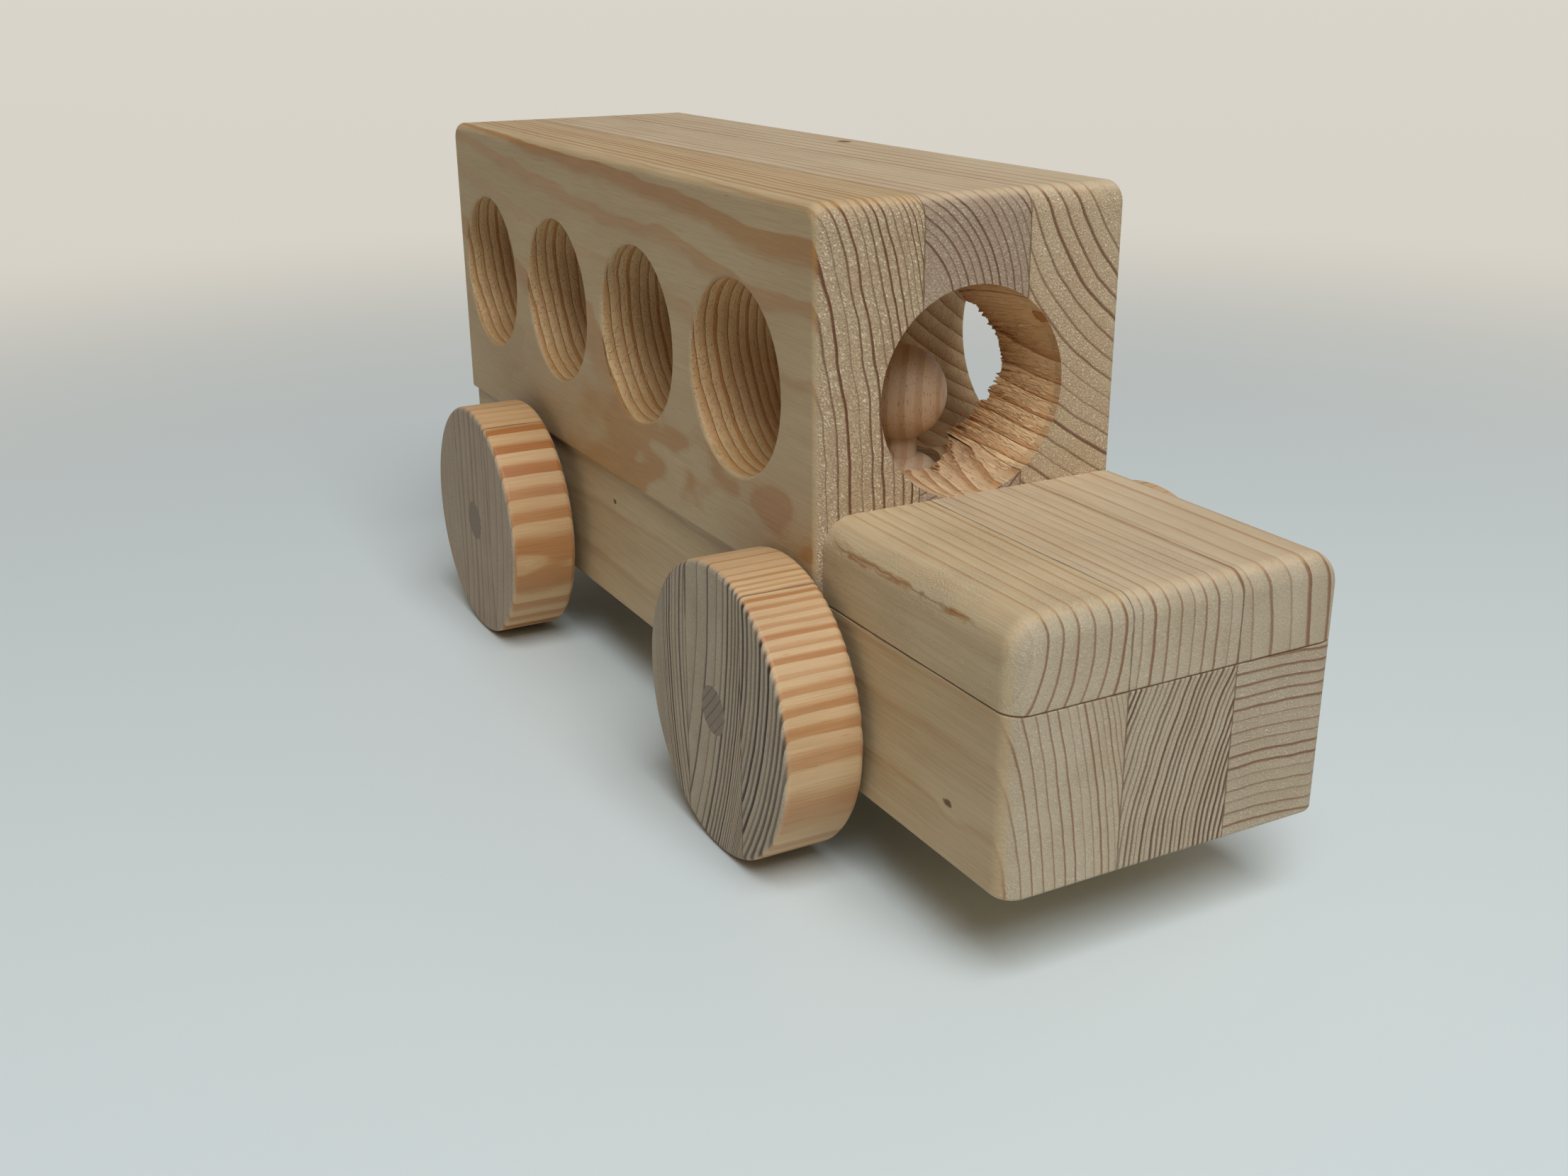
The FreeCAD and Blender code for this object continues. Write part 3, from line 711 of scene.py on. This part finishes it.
def build_pine_surface():
    """Colour, roughness and height of sanded pine from the masks of the other groups."""
    wiring, given, result = new_group("Pine surface", {
        "colour": ("Early", "Late", "End Early", "End Late", "Glue Colour", "Knot Colour",
                   "Torn Colour", "Tint", "End Tint"),
        "value": ("Contrast", "End Contrast", "Late Wood", "Year Tone", "Season", "Streak", "Dash",
                  "Cloud", "End", "Crumb", "Speck And Painted Glint", "Crumbs", "Fuzz", "Glue", "Knot", "Wall",
                  "Fresh", "Torn"),
    }, {"colour": ("Color",), "value": ("Roughness", "Height")})
    calc, blend, product = wiring.calc, wiring.blend, wiring.product
    end, wall, late_wood = given["End"], given["Wall"], given["Late Wood"]
    side = calc("SUBTRACT", 1.0, end)
    rough = calc("ADD", product(end, given["Crumbs"]), product(side, given["Fuzz"]))
    crumbs = product(rough, calc("SUBTRACT", 1.0, wall))

    ripe = wiring.fade(wall, 0.0, 1.0, *RIPENING)
    ripening = product(calc("POWER", given["Season"], RIPENING_POWER), ripe)
    depth = wiring.fade(given["Year Tone"], 0.0, 1.0, 0.5, 1.0)
    contrast = wiring.node("ShaderNodeMapRange", {
        "Value": end, "To Min": given["Contrast"], "To Max": given["End Contrast"]})
    line = product(late_wood, depth, contrast)
    colour = blend(calc("MAXIMUM", ripening, line), blend(end, given["Early"], given["End Early"]),
                   blend(end, given["Late"], given["End Late"]))

    pits = product(calc("SUBTRACT", 1.0, given["Crumb"]), crumbs, end, SHOWN["Pit"])
    # Painted highlights: glints on the crumbled cut ends, away from the late wood
    painted_glints = product(given["Speck And Painted Glint"], crumbs, wiring.fade(late_wood, 0.5, 0.0), SHOWN["Speck And Painted Glint"])
    tint = blend(end, given["Tint"], given["End Tint"])
    layers = (
        (product(given["Streak"], SHOWN["Streak"]), opaque(STREAK_SHADE), "MULTIPLY"),
        (product(given["Cloud"], SHOWN["Cloud"]), opaque(CLOUD_SHADE), "MULTIPLY"),
        (product(given["Dash"], side, SHOWN["Dash"]), given["Late"], "MIX"),
        (pits, given["End Late"], "MIX"),
        # Painted highlight over the cut ends
        (painted_glints, opaque(PAINTED_GLINT_COLOUR), "MIX"),
        (wall, opaque(DRILLED_SHADE), "MULTIPLY"),
        (given["Fresh"], opaque(FRESH_SHADE), "MULTIPLY"),
        (product(given["Torn"], SHOWN["Torn"]), given["Torn Colour"], "MIX"),
        # Glue lines, and painted shade in the seam along the bed
        (product(given["Glue"], SHOWN["Glue"]), given["Glue Colour"], "MIX"),
        (given["Knot"], given["Knot Colour"], "MIX"),
        (1.0, tint, "MULTIPLY"),
    )
    for share, shade, mode in layers:
        colour = blend(share, colour, shade, mode)

    roughness = wiring.total(
        PINE_ROUGHNESS, product(late_wood, LATE_POLISH), product(end, END_DULLNESS),
        product(wall, WALL_DULLNESS))
    height = wiring.total(
        product(late_wood, wiring.fade(wall, 0.0, 1.0, *RIDGE)),
        product(given["Streak"], RAISED["Streak"]),
        product(given["Crumb"], crumbs, RAISED["Crumb"]),
        product(given["Speck And Painted Glint"], crumbs, RAISED["Speck And Painted Glint"]),
        product(given["Torn"], RAISED["Torn"]),
        product(given["Glue"], RAISED["Glue"]))
    wiring.feed(result, {"Color": colour, "Roughness": roughness, "Height": height})


def build_birch_surface():
    """Colour, roughness and height of a birch dowel, greyer and lined on its cut ends."""
    wiring, given, result = new_group("Birch surface", {
        "colour": ("Wood", "End Wood", "Line"), "value": ("Late Wood", "Streak", "End", "Crumb"),
    }, {"colour": ("Color",), "value": ("Roughness", "Height")})
    crumbled = wiring.product(given["End"], given["Crumb"])
    colour = wiring.blend(given["End"], given["Wood"], given["End Wood"])
    for mark, shown in ((given["Late Wood"], 0.8), (given["Streak"], 0.2), (crumbled, 0.25)):
        colour = wiring.blend(wiring.product(mark, shown), colour, given["Line"])
    wiring.feed(result, {
        "Color": colour,
        "Roughness": wiring.calc("MULTIPLY_ADD", given["End"], 0.15, 0.55),
        "Height": crumbled})


GROUP_BUILDERS = (
    build_growth_rings, build_wood_fibre, build_end_grain, build_glue_lines, build_pin_knot,
    build_bored_wall, build_torn_fibres, build_saw_crease, build_rough_patches,
    build_pine_surface, build_birch_surface,
)


def ensure_groups():
    """Build the shared node groups once."""
    if "Growth rings" not in bpy.data.node_groups:
        for build in GROUP_BUILDERS:
            build()


# Finishes

# How a torn piece takes the pine: half end grain, all of it drilled and a little fresher

TORN_WOOD = {"End": 0.5, "Wall": 1.0, "Fresh": 0.3}

# Width of the fine streaks, in millimetres, and height of the grain, in metres

BEECH_FIBRE, BEECH_RELIEF = 0.22, 0.08 * MM
BIRCH_FIBRE, BIRCH_RELIEF = 0.25, 0.12 * MM


def new_finish(name):
    """A material with its Principled shader: the wiring and the shader's inputs."""
    material = bpy.data.materials.new(name)
    material.use_nodes = True
    shader = next(node for node in material.node_tree.nodes if node.type == "BSDF_PRINCIPLED")
    return material, Wiring(material.node_tree), shader.inputs


def coat(wiring, shader, finish, relief):
    """Give the shader a finish's colour and roughness, and its height as a relief."""
    wiring.feed(shader, {
        "Base Color": finish["Color"], "Roughness": finish["Roughness"],
        "Normal": wiring.bump(finish["Height"], relief)})


def place_on_stave(wiring, node_name, lie):
    """Millimetres along, across and up the stave, and a steady number that no other stave has.

    The place is taken on the object, so the grain turns with its wheel.
    """
    place = wiring.node("ShaderNodeTexCoord", output="Object")
    moved = wiring.vector("SUBTRACT", place, lie.origin)
    parts = wiring.split(wiring.vector("MULTIPLY", moved, (1 / MM, 1 / MM, 1 / MM)))
    return {
        "Stave Point": wiring.join(*(parts[axis] for axis in lie.axes)),
        "Seed": sorted(FIGURES).index(node_name) * SEED_STEP,
    }


def facing_of(wiring, lie):
    """The way the surface faces, and the way the grain runs in it."""
    return {
        "Surface": wiring.node("ShaderNodeTexCoord", output="Normal"),
        "Grain": tuple(1.0 if axis == lie.axes[0] else 0.0 for axis in range(3)),
    }


def rings_of(node_name):
    """What the growth rings need to know of one stave."""
    figure = FIGURES[node_name]
    return {
        "Pith Across": figure.pith[0], "Pith Up": figure.pith[1], "Lean": figure.lean,
        "Bow": figure.bow, "First Ring": figure.first, "Spacing": figure.spacing,
        "Crowding": figure.crowding, "Crowding Reach": figure.reach, "Late Width": figure.late,
        "Wobble": figure.wobble, "Ripple": figure.ripple,
    }


def seams_of(node_name, lie):
    """Where the stave's glued faces lie across it, and the bed on top of the chassis, whose seam takes
    painted shade.

    A stave that is glued on one face names it twice, and a wheel has no bed near it.
    """
    role = next(word for word in reversed(node_name.split("_")) if word in GLUED_FACES)
    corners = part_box(node_name)
    axis = lie.axes[1]
    places = [(corners[face][axis] - lie.origin[axis]) / MM for face in GLUED_FACES[role]]
    bed = NO_BED
    if "wheel" not in node_name:
        bed = (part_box("chassis_stave_middle")[1].z - lie.origin[2]) / MM
    return {"First Seam": places[0], "Second Seam": places[-1], "Bed": bed}


def knots_of(wiring, node_name, point):
    """The stave's pin knots, and how far they push its rings aside."""
    knot = 0.0
    push = 0.0
    for face, along, up, radius in KNOTS.get(node_name, ()):
        along_axis, across_axis, up_axis = wiring.split(point)
        seen = point if face == "side" else wiring.join(along_axis, up_axis, across_axis)
        found = wiring.group(
            "Pin knot", {"Stave Point": seen, "Along": along, "Up": up, "Radius": radius})
        knot = wiring.calc("MAXIMUM", knot, found["Knot"])
        push = wiring.total(push, found["Push"])
    return knot, push


def marks_of(wiring, node_name, lie, bored, torn):
    """Where the marks of the grain, the drill, the glue and the saw show on one stave."""
    pine = bpy.context.scene.toybus_pine
    figure = FIGURES[node_name]
    here = place_on_stave(wiring, node_name, lie)
    facing = facing_of(wiring, lie)
    knot, push = knots_of(wiring, node_name, here["Stave Point"])
    marks = {
        "Knot": knot,
        **wiring.group("Wood fibre", {**here, "Size": pine.fibre_size}),
        **wiring.group("End grain", {**here, **facing}),
    }
    if torn:
        marks.update(wiring.group("Torn fibres", here))
        marks.update(TORN_WOOD)
    elif bored:
        marks.update(wiring.group("Bored wall", {**here, "Surface": facing["Surface"], **bored}))
        end_left = wiring.fade(marks["Wall"], 0.0, 1.0, 1.0, END_IN_WALL)
        marks["End"] = wiring.product(marks["End"], end_left)
    thinning = 0.0 if torn else wiring.product(marks["End"], figure.thinning)
    marks.update(wiring.group("Growth rings", {
        **here, **rings_of(node_name), "Thinning": thinning, "Push": push}))
    # Glue lines between staves, and painted shade in the seam along the bed
    marks.update(wiring.group("Glue lines", {
        **here, **seams_of(node_name, lie), "Half Width": pine.glue_width}))
    if node_name == CREASED_STAVE:
        crease = wiring.group("Saw crease", {**here, **CREASE})
        edge = wiring.product(crease["Edge"], CREASE_DARKNESS)
        marks["Late Wood"] = wiring.calc("MAXIMUM", marks["Late Wood"], edge)
        marks["Glue"] = wiring.calc("MAXIMUM", marks["Glue"], crease["Cut"])
    if figure.fuzz:
        marks.update(wiring.group("Rough patches", {**here, "Strength": figure.fuzz}))
    return marks


def pine_finish(node_name, lie, bored=None, torn=False):
    """Sanded pine of one stave, or the fibres that the drill tore up from it."""
    pine = bpy.context.scene.toybus_pine
    figure = FIGURES[node_name]
    material, wiring, shader = new_finish(f"torn_{node_name}" if torn else f"pine_{node_name}")
    late_wood = [share * tint for share, tint in zip(pine.late_wood, figure.late_tint)]
    end_late_wood = [share * figure.depth for share in pine.end_late_wood]
    finish = wiring.group("Pine surface", {
        "Early": opaque(pine.early_wood), "Late": opaque(late_wood),
        "End Early": opaque(pine.end_early_wood), "End Late": opaque(end_late_wood),
        "Glue Colour": opaque(pine.glue), "Knot Colour": opaque(pine.knot),
        "Torn Colour": opaque(pine.torn), "Tint": opaque(figure.tint),
        "End Tint": opaque(figure.end_tint), "Contrast": figure.contrast,
        "End Contrast": figure.end_contrast, "Crumbs": figure.crumbs,
        **marks_of(wiring, node_name, lie, bored, torn)})
    coat(wiring, shader, finish, pine.relief)
    return material


def beech_finish(node_name, lie):
    """Turned beech: soft bands up the figure, with short dark flecks."""
    beech = bpy.context.scene.toybus_beech
    material, wiring, shader = new_finish(f"beech_{node_name}")
    here = place_on_stave(wiring, node_name, lie)
    rings = wiring.group("Growth rings", {**here, **rings_of(node_name)})
    streak = wiring.group("Wood fibre", {**here, "Size": BEECH_FIBRE})["Streak"]
    flecks = wiring.noise(here["Stave Point"], along=2.4, across=0.3, seed=here["Seed"], detail=1.0)
    fleck = wiring.fade(flecks, 0.62, 0.7)
    ground = wiring.blend(rings["Late Wood"], opaque(beech.wood), opaque(beech.band))
    streaked = wiring.blend(wiring.product(streak, 0.35), ground, opaque(beech.band))
    coat(wiring, shader, {
        "Color": wiring.blend(wiring.product(fleck, 0.7), streaked, opaque(beech.fleck)),
        "Roughness": wiring.calc("MULTIPLY_ADD", streak, 0.1, 0.42),
        "Height": wiring.calc("MULTIPLY_ADD", fleck, -0.5, wiring.product(streak, 0.3)),
    }, BEECH_RELIEF)
    return material


def birch_finish(node_name, lie):
    """Birch dowel, with the wood of its ends in the wheels' faces."""
    birch = bpy.context.scene.toybus_birch
    material, wiring, shader = new_finish(f"birch_{node_name}")
    here = place_on_stave(wiring, node_name, lie)
    rings = wiring.group("Growth rings", {**here, **rings_of(node_name)})
    fibre = wiring.group("Wood fibre", {**here, "Size": BIRCH_FIBRE})
    cut = wiring.group("End grain", {**here, **facing_of(wiring, lie)})
    finish = wiring.group("Birch surface", {
        "Wood": opaque(birch.wood), "End Wood": opaque(birch.end), "Line": opaque(birch.line),
        "Late Wood": rings["Late Wood"], "Streak": fibre["Streak"], "End": cut["End"],
        "Crumb": cut["Crumb"]})
    coat(wiring, shader, finish, BIRCH_RELIEF)
    return material


def dress(node_name, material):
    """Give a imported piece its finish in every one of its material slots."""
    mesh = frame["nodes"][node_name].data
    if not mesh.materials:
        mesh.materials.append(material)
    for index in range(len(mesh.materials)):
        mesh.materials[index] = material


def dress_boards(row, bored=None):
    """Finish three boards that are glued side by side."""
    for side in SIDES:
        name = f"{row}_{side}"
        dress(name, pine_finish(name, board_lie(), bored))


def window_row():
    """Centres of the side windows and the windscreen, in millimetres, from the record's openings."""
    boxes = {item["name"]: item["box_m"] for item in frame["record"]["physics"]["openings"]}
    centres = {name: [(low + high) / 2 / MM for low, high in zip(*box)] for name, box in boxes.items()}
    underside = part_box("chassis_stave_middle")[0].z / MM
    pitch = centres["second_window"][0] - centres["third_window"][0]
    return {
        "First Window": centres["second_window"][0] + pitch,
        "Pitch": pitch,
        "Height": centres["second_window"][2] - underside,
        "Radius": WINDOW_RADIUS,
        "Windscreen Across": centres["windscreen"][1],
        "Windscreen Radius": WINDSCREEN_RADIUS,
    }


# The ridge that the drill tore up round the windscreen's far side, in millimetres and degrees:
# which part of it each board has, and how high it stands by its angle

TEARS = {
    "left": (-56.0, 78.0),
    "middle": (-118.0, -56.0),
}
TEAR_HEIGHTS = ((-118, 0.0), (-100, 1.6), (-56, 3.2), (-30, 4.4), (10, 3.8), (45, 2.2), (78, 0.0))
TEAR_COLUMNS_PER_DEGREE = 1.5
TEAR_ROWS = 16

# How far behind the front face the ridge starts, how deep its skin and its far edge are let into
# the wall, and the room that it leaves round the driver, in millimetres

TEAR_SETBACK = 0.4
SKIN_DEPTH, EDGE_DEPTH = 0.12, 0.3
DRIVER_ROOM = 0.9

# How steeply the ridge and its splinters rise towards its edge, and how much of the last
# splinter the next one keeps

SWELL_POWER, SPLINTER_POWER = 1.5, 4
SPLINTER_KEEPS = 0.75

# Shares of the ridge's height: how far a splinter stands out, how deep the edge is notched
# everywhere and beside a splinter, and the least and the most that chance adds

SPLINTER_RISE, SPLINTER_CHANCE = 0.5, (-0.04, 0.05)
NOTCH, SPLINTER_NOTCH, NOTCH_CHANCE = 0.15, 0.5, (0.0, 0.08)
FIBRE_CHANCE = (-0.05, 0.05)


def tear_height(angle):
    """How far the torn wood stands in from the drilled wall at this angle."""
    for (start, low), (end, high) in zip(TEAR_HEIGHTS, TEAR_HEIGHTS[1:]):
        if angle <= end:
            return low + (high - low) * (angle - start) / (end - start)
    return 0.0


def tear_lines(side):
    """Lines of points along one board's ridge, each from its front to its torn edge, in metres."""
    bores = window_row()
    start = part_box("cabin_board_middle")[1].x / MM - TEAR_SETBACK
    height = bores["Height"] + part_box("chassis_stave_middle")[0].z / MM
    radius = bores["Windscreen Radius"]
    low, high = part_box("driver")
    driver = (low + high) / 2 / MM
    clearance = (high.y - low.y) / 2 / MM + DRIVER_ROOM
    dice = random.Random(side)
    first, last = TEARS[side]
    columns = int((last - first) * TEAR_COLUMNS_PER_DEGREE)
    chip = 0.0
    lines = []
    for column in range(columns + 1):
        angle = first + (last - first) * column / columns
        lean = math.radians(angle)
        drop = radius * math.sin(lean)
        swell = tear_height(angle)
        wall = bores["First Window"] + math.sqrt(max(bores["Radius"] ** 2 - drop ** 2, 0.0))
        beside = bores["Windscreen Across"] + (radius - swell) * math.cos(lean) - driver.y
        wall = max(wall, driver.x + math.sqrt(max(clearance ** 2 - beside ** 2, 0.0)))
        chip = SPLINTER_KEEPS * chip + (1 - SPLINTER_KEEPS) * dice.uniform(-1.0, 1.0)
        splinter = (SPLINTER_RISE * chip + dice.uniform(*SPLINTER_CHANCE)) * swell
        notch = (NOTCH + SPLINTER_NOTCH * abs(chip) + dice.uniform(*NOTCH_CHANCE)) * swell
        reach = wall - notch
        line = []
        for row in range(TEAR_ROWS + 1):
            share = row / TEAR_ROWS
            rough = splinter * share ** SPLINTER_POWER + dice.uniform(*FIBRE_CHANCE) * swell * share
            inwards = radius + SKIN_DEPTH - swell * share ** SWELL_POWER - rough
            line.append((start + (reach - start) * share, inwards))
        line.append((wall, radius + EDGE_DEPTH))
        lines.append([(
            along * MM,
            (bores["Windscreen Across"] + out * math.cos(lean)) * MM,
            (height + out * math.sin(lean)) * MM) for along, out in line])
    return lines


def raise_tear(side):
    """Torn fibres along the edge where the windscreen breaks into the foremost window."""
    shape = bmesh.new()
    rows = [[shape.verts.new(point) for point in line] for line in tear_lines(side)]
    for here, there in zip(rows, rows[1:]):
        for row in range(len(here) - 1):
            shape.faces.new((here[row], here[row + 1], there[row + 1], there[row]))
    mesh = bpy.data.meshes.new(f"torn_fibres_{side}")
    shape.to_mesh(mesh)
    shape.free()
    piece = bpy.data.objects.new(f"torn_fibres_{side}", mesh)
    bpy.context.scene.collection.objects.link(piece)
    mesh.materials.append(pine_finish(f"cabin_board_{side}", board_lie(), torn=True))
    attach(piece, "bus")


# The stage

BLACK = (0.0, 0.0, 0.0)
FLOOR_CORNERS = 96
FLOOR_ROUGHNESS = 0.42

# Width of the camera's sensor in millimetres, and the nearest thing that it sees in metres

SENSOR_WIDTH = 36.0
NEAREST_SEEN = 0.01

# The faded floor still mirrors a little light, and the plain distance above it is raised to match

DISTANCE_STRENGTH = 1.1


def lay_floor():
    """A plain pale floor under the wheels, which fades to the plain distance."""
    stage = bpy.context.scene.toybus_stage
    bpy.ops.mesh.primitive_circle_add(
        vertices=FLOOR_CORNERS, radius=stage.floor_radius, fill_type="NGON")
    floor = bpy.context.object
    floor.name = "floor"
    material, wiring, shader = new_finish("floor_paint")
    place = wiring.node("ShaderNodeTexCoord", output="Object")
    away = wiring.vector("LENGTH", place, output="Value")
    faded = wiring.fade(away, stage.fade_start, stage.fade_end)
    seen = wiring.node("ShaderNodeLightPath", output="Is Camera Ray")
    mirrored = wiring.node("ShaderNodeLightPath", output="Is Glossy Ray")
    shown = wiring.product(faded, wiring.calc("MAXIMUM", seen, mirrored))
    wiring.feed(shader, {
        "Base Color": wiring.blend(faded, opaque(stage.floor), opaque(BLACK)),
        "Emission Color": wiring.blend(shown, opaque(BLACK), opaque(stage.distance)),
        "Emission Strength": 1.0,
        "Roughness": FLOOR_ROUGHNESS})
    floor.data.materials.append(material)


def hang_window_light():
    """One broad window light ahead of and above the bus."""
    stage = bpy.context.scene.toybus_stage
    light = bpy.data.lights.new("window_light", "AREA")
    light.shape = "SQUARE"
    light.size = stage.window_size
    light.energy = stage.window_power
    light.color = stage.window
    lamp = bpy.data.objects.new("window_light", light)
    lamp.location = stage.window_place
    lamp.rotation_euler = Vector(stage.window_place).to_track_quat("Z", "Y").to_euler()
    bpy.context.scene.collection.objects.link(lamp)


def light_surroundings():
    """Soft light from all round, dimmer on the right, behind the plain distance that is seen."""
    stage = bpy.context.scene.toybus_stage
    world = bpy.data.worlds.new("surroundings")
    world.use_nodes = True
    wiring = Wiring(world.node_tree)
    background = next(node for node in world.node_tree.nodes if node.type == "BACKGROUND")
    output = next(node for node in world.node_tree.nodes if node.type == "OUTPUT_WORLD")
    direction = wiring.node("ShaderNodeTexCoord", output="Generated")
    rightwards = wiring.product(wiring.split(direction)[1], -1.0)
    share = wiring.fade(rightwards, -0.2, 0.7)
    wiring.feed(background.inputs, {
        "Color": wiring.blend(share, opaque(stage.sky), opaque(stage.shade)),
        "Strength": stage.sky_strength})
    plain = wiring.node("ShaderNodeBackground", {
        "Color": opaque(stage.distance), "Strength": DISTANCE_STRENGTH})
    seen = wiring.node("ShaderNodeLightPath", output="Is Camera Ray")
    shown = wiring.node("ShaderNodeMixShader", {0: seen, 1: background.outputs[0], 2: plain})
    wiring.feed(output.inputs, {"Surface": shown})
    bpy.context.scene.world = world


def set_camera():
    """The photograph's viewpoint and lens."""
    stage = bpy.context.scene.toybus_stage
    camera = bpy.data.cameras.new("camera")
    camera.sensor_fit = "HORIZONTAL"
    camera.sensor_width = SENSOR_WIDTH
    camera.lens = stage.lens
    camera.clip_start = NEAREST_SEEN
    viewer = bpy.data.objects.new("camera", camera)
    sight = Vector(stage.aim) - Vector(stage.viewpoint)
    turn = sight.to_track_quat("-Z", "Y").to_matrix() @ Matrix.Rotation(stage.roll, 3, "Z")
    viewer.matrix_world = Matrix.Translation(stage.viewpoint) @ turn.to_4x4()
    bpy.context.scene.collection.objects.link(viewer)
    bpy.context.scene.camera = viewer


# Operators: one for each piece or group of like pieces, and one for the stage

class TOYBUS_OT_chassis(bpy.types.Operator):
    """Finish the three staves of the chassis"""

    bl_idname = "toybus.chassis"
    bl_label = "Finish chassis"

    def execute(self, context):
        ensure_groups()
        dress_boards("chassis_stave")
        return {"FINISHED"}


class TOYBUS_OT_cabin(bpy.types.Operator):
    """Finish the three boards of the cabin, with their bored windows"""

    bl_idname = "toybus.cabin"
    bl_label = "Finish cabin"

    def execute(self, context):
        ensure_groups()
        dress_boards("cabin_board", bored=window_row())
        return {"FINISHED"}


class TOYBUS_OT_windscreen(bpy.types.Operator):
    """Raise the torn fibres round the far side of the windscreen"""

    bl_idname = "toybus.windscreen"
    bl_label = "Tear the windscreen's edge"

    def execute(self, context):
        ensure_groups()
        for side in TEARS:
            raise_tear(side)
        return {"FINISHED"}


class TOYBUS_OT_bonnet(bpy.types.Operator):
    """Finish the three short staves of the bonnet"""

    bl_idname = "toybus.bonnet"
    bl_label = "Finish bonnet"

    def execute(self, context):
        ensure_groups()
        dress_boards("bonnet_stave")
        return {"FINISHED"}


class TOYBUS_OT_driver(bpy.types.Operator):
    """Finish the turned driver"""

    bl_idname = "toybus.driver"
    bl_label = "Finish driver"

    def execute(self, context):
        ensure_groups()
        dress("driver", beech_finish("driver", driver_lie()))
        return {"FINISHED"}


class TOYBUS_OT_axles(bpy.types.Operator):
    """Finish the two dowel axles"""

    bl_idname = "toybus.axles"
    bl_label = "Finish axles"

    def execute(self, context):
        ensure_groups()
        for end in ENDS:
            name = f"{end}_axle"
            dress(name, birch_finish(name, axle_lie(end)))
        return {"FINISHED"}


class TOYBUS_OT_wheels(bpy.types.Operator):
    """Finish the three staves of each of the four wheels"""

    bl_idname = "toybus.wheels"
    bl_label = "Finish wheels"

    def execute(self, context):
        ensure_groups()
        for end in ENDS:
            lie = wheel_lie(end)
            for side in ("right", "left"):
                for part in ("fore", "middle", "aft"):
                    name = f"{end}_{side}_wheel_stave_{part}"
                    dress(name, pine_finish(name, lie))
        return {"FINISHED"}


class TOYBUS_OT_stage(bpy.types.Operator):
    """Lay the floor, hang the light and set up the camera"""

    bl_idname = "toybus.stage"
    bl_label = "Set the stage"

    def execute(self, context):
        lay_floor()
        hang_window_light()
        light_surroundings()
        set_camera()
        context.scene.view_settings.view_transform = "Standard"
        return {"FINISHED"}


class TOYBUS_PT_finish(bpy.types.Panel):
    """Finishes of the toy bus and its stage"""

    bl_idname = "TOYBUS_PT_finish"
    bl_label = "Toy bus"
    bl_space_type = "VIEW_3D"
    bl_region_type = "UI"
    bl_category = "Toy bus"

    def draw(self, context):
        for operator in OPERATORS:
            self.layout.operator(operator.bl_idname)
        for settings in SETTINGS:
            box = self.layout.box()
            group = getattr(context.scene, settings)
            for name in group.__annotations__:
                box.prop(group, name)


OPERATORS = (
    TOYBUS_OT_chassis, TOYBUS_OT_cabin, TOYBUS_OT_windscreen, TOYBUS_OT_bonnet, TOYBUS_OT_driver,
    TOYBUS_OT_axles, TOYBUS_OT_wheels, TOYBUS_OT_stage,
)
SETTINGS = {
    "toybus_pine": PineProperties,
    "toybus_beech": BeechProperties,
    "toybus_birch": BirchProperties,
    "toybus_stage": StageProperties,
}


def register():
    for settings, kind in SETTINGS.items():
        bpy.utils.register_class(kind)
        setattr(bpy.types.Scene, settings, bpy.props.PointerProperty(type=kind))
    for kind in (*OPERATORS, TOYBUS_PT_finish):
        bpy.utils.register_class(kind)


def unregister():
    for kind in reversed((*OPERATORS, TOYBUS_PT_finish)):
        bpy.utils.unregister_class(kind)
    for settings, kind in SETTINGS.items():
        delattr(bpy.types.Scene, settings)
        bpy.utils.unregister_class(kind)


def main():
    """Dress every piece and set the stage."""
    register()
    bpy.ops.toybus.chassis()
    bpy.ops.toybus.cabin()
    bpy.ops.toybus.windscreen()
    bpy.ops.toybus.bonnet()
    bpy.ops.toybus.driver()
    bpy.ops.toybus.axles()
    bpy.ops.toybus.wheels()
    bpy.ops.toybus.stage()


if __name__ == "__main__":
    main()
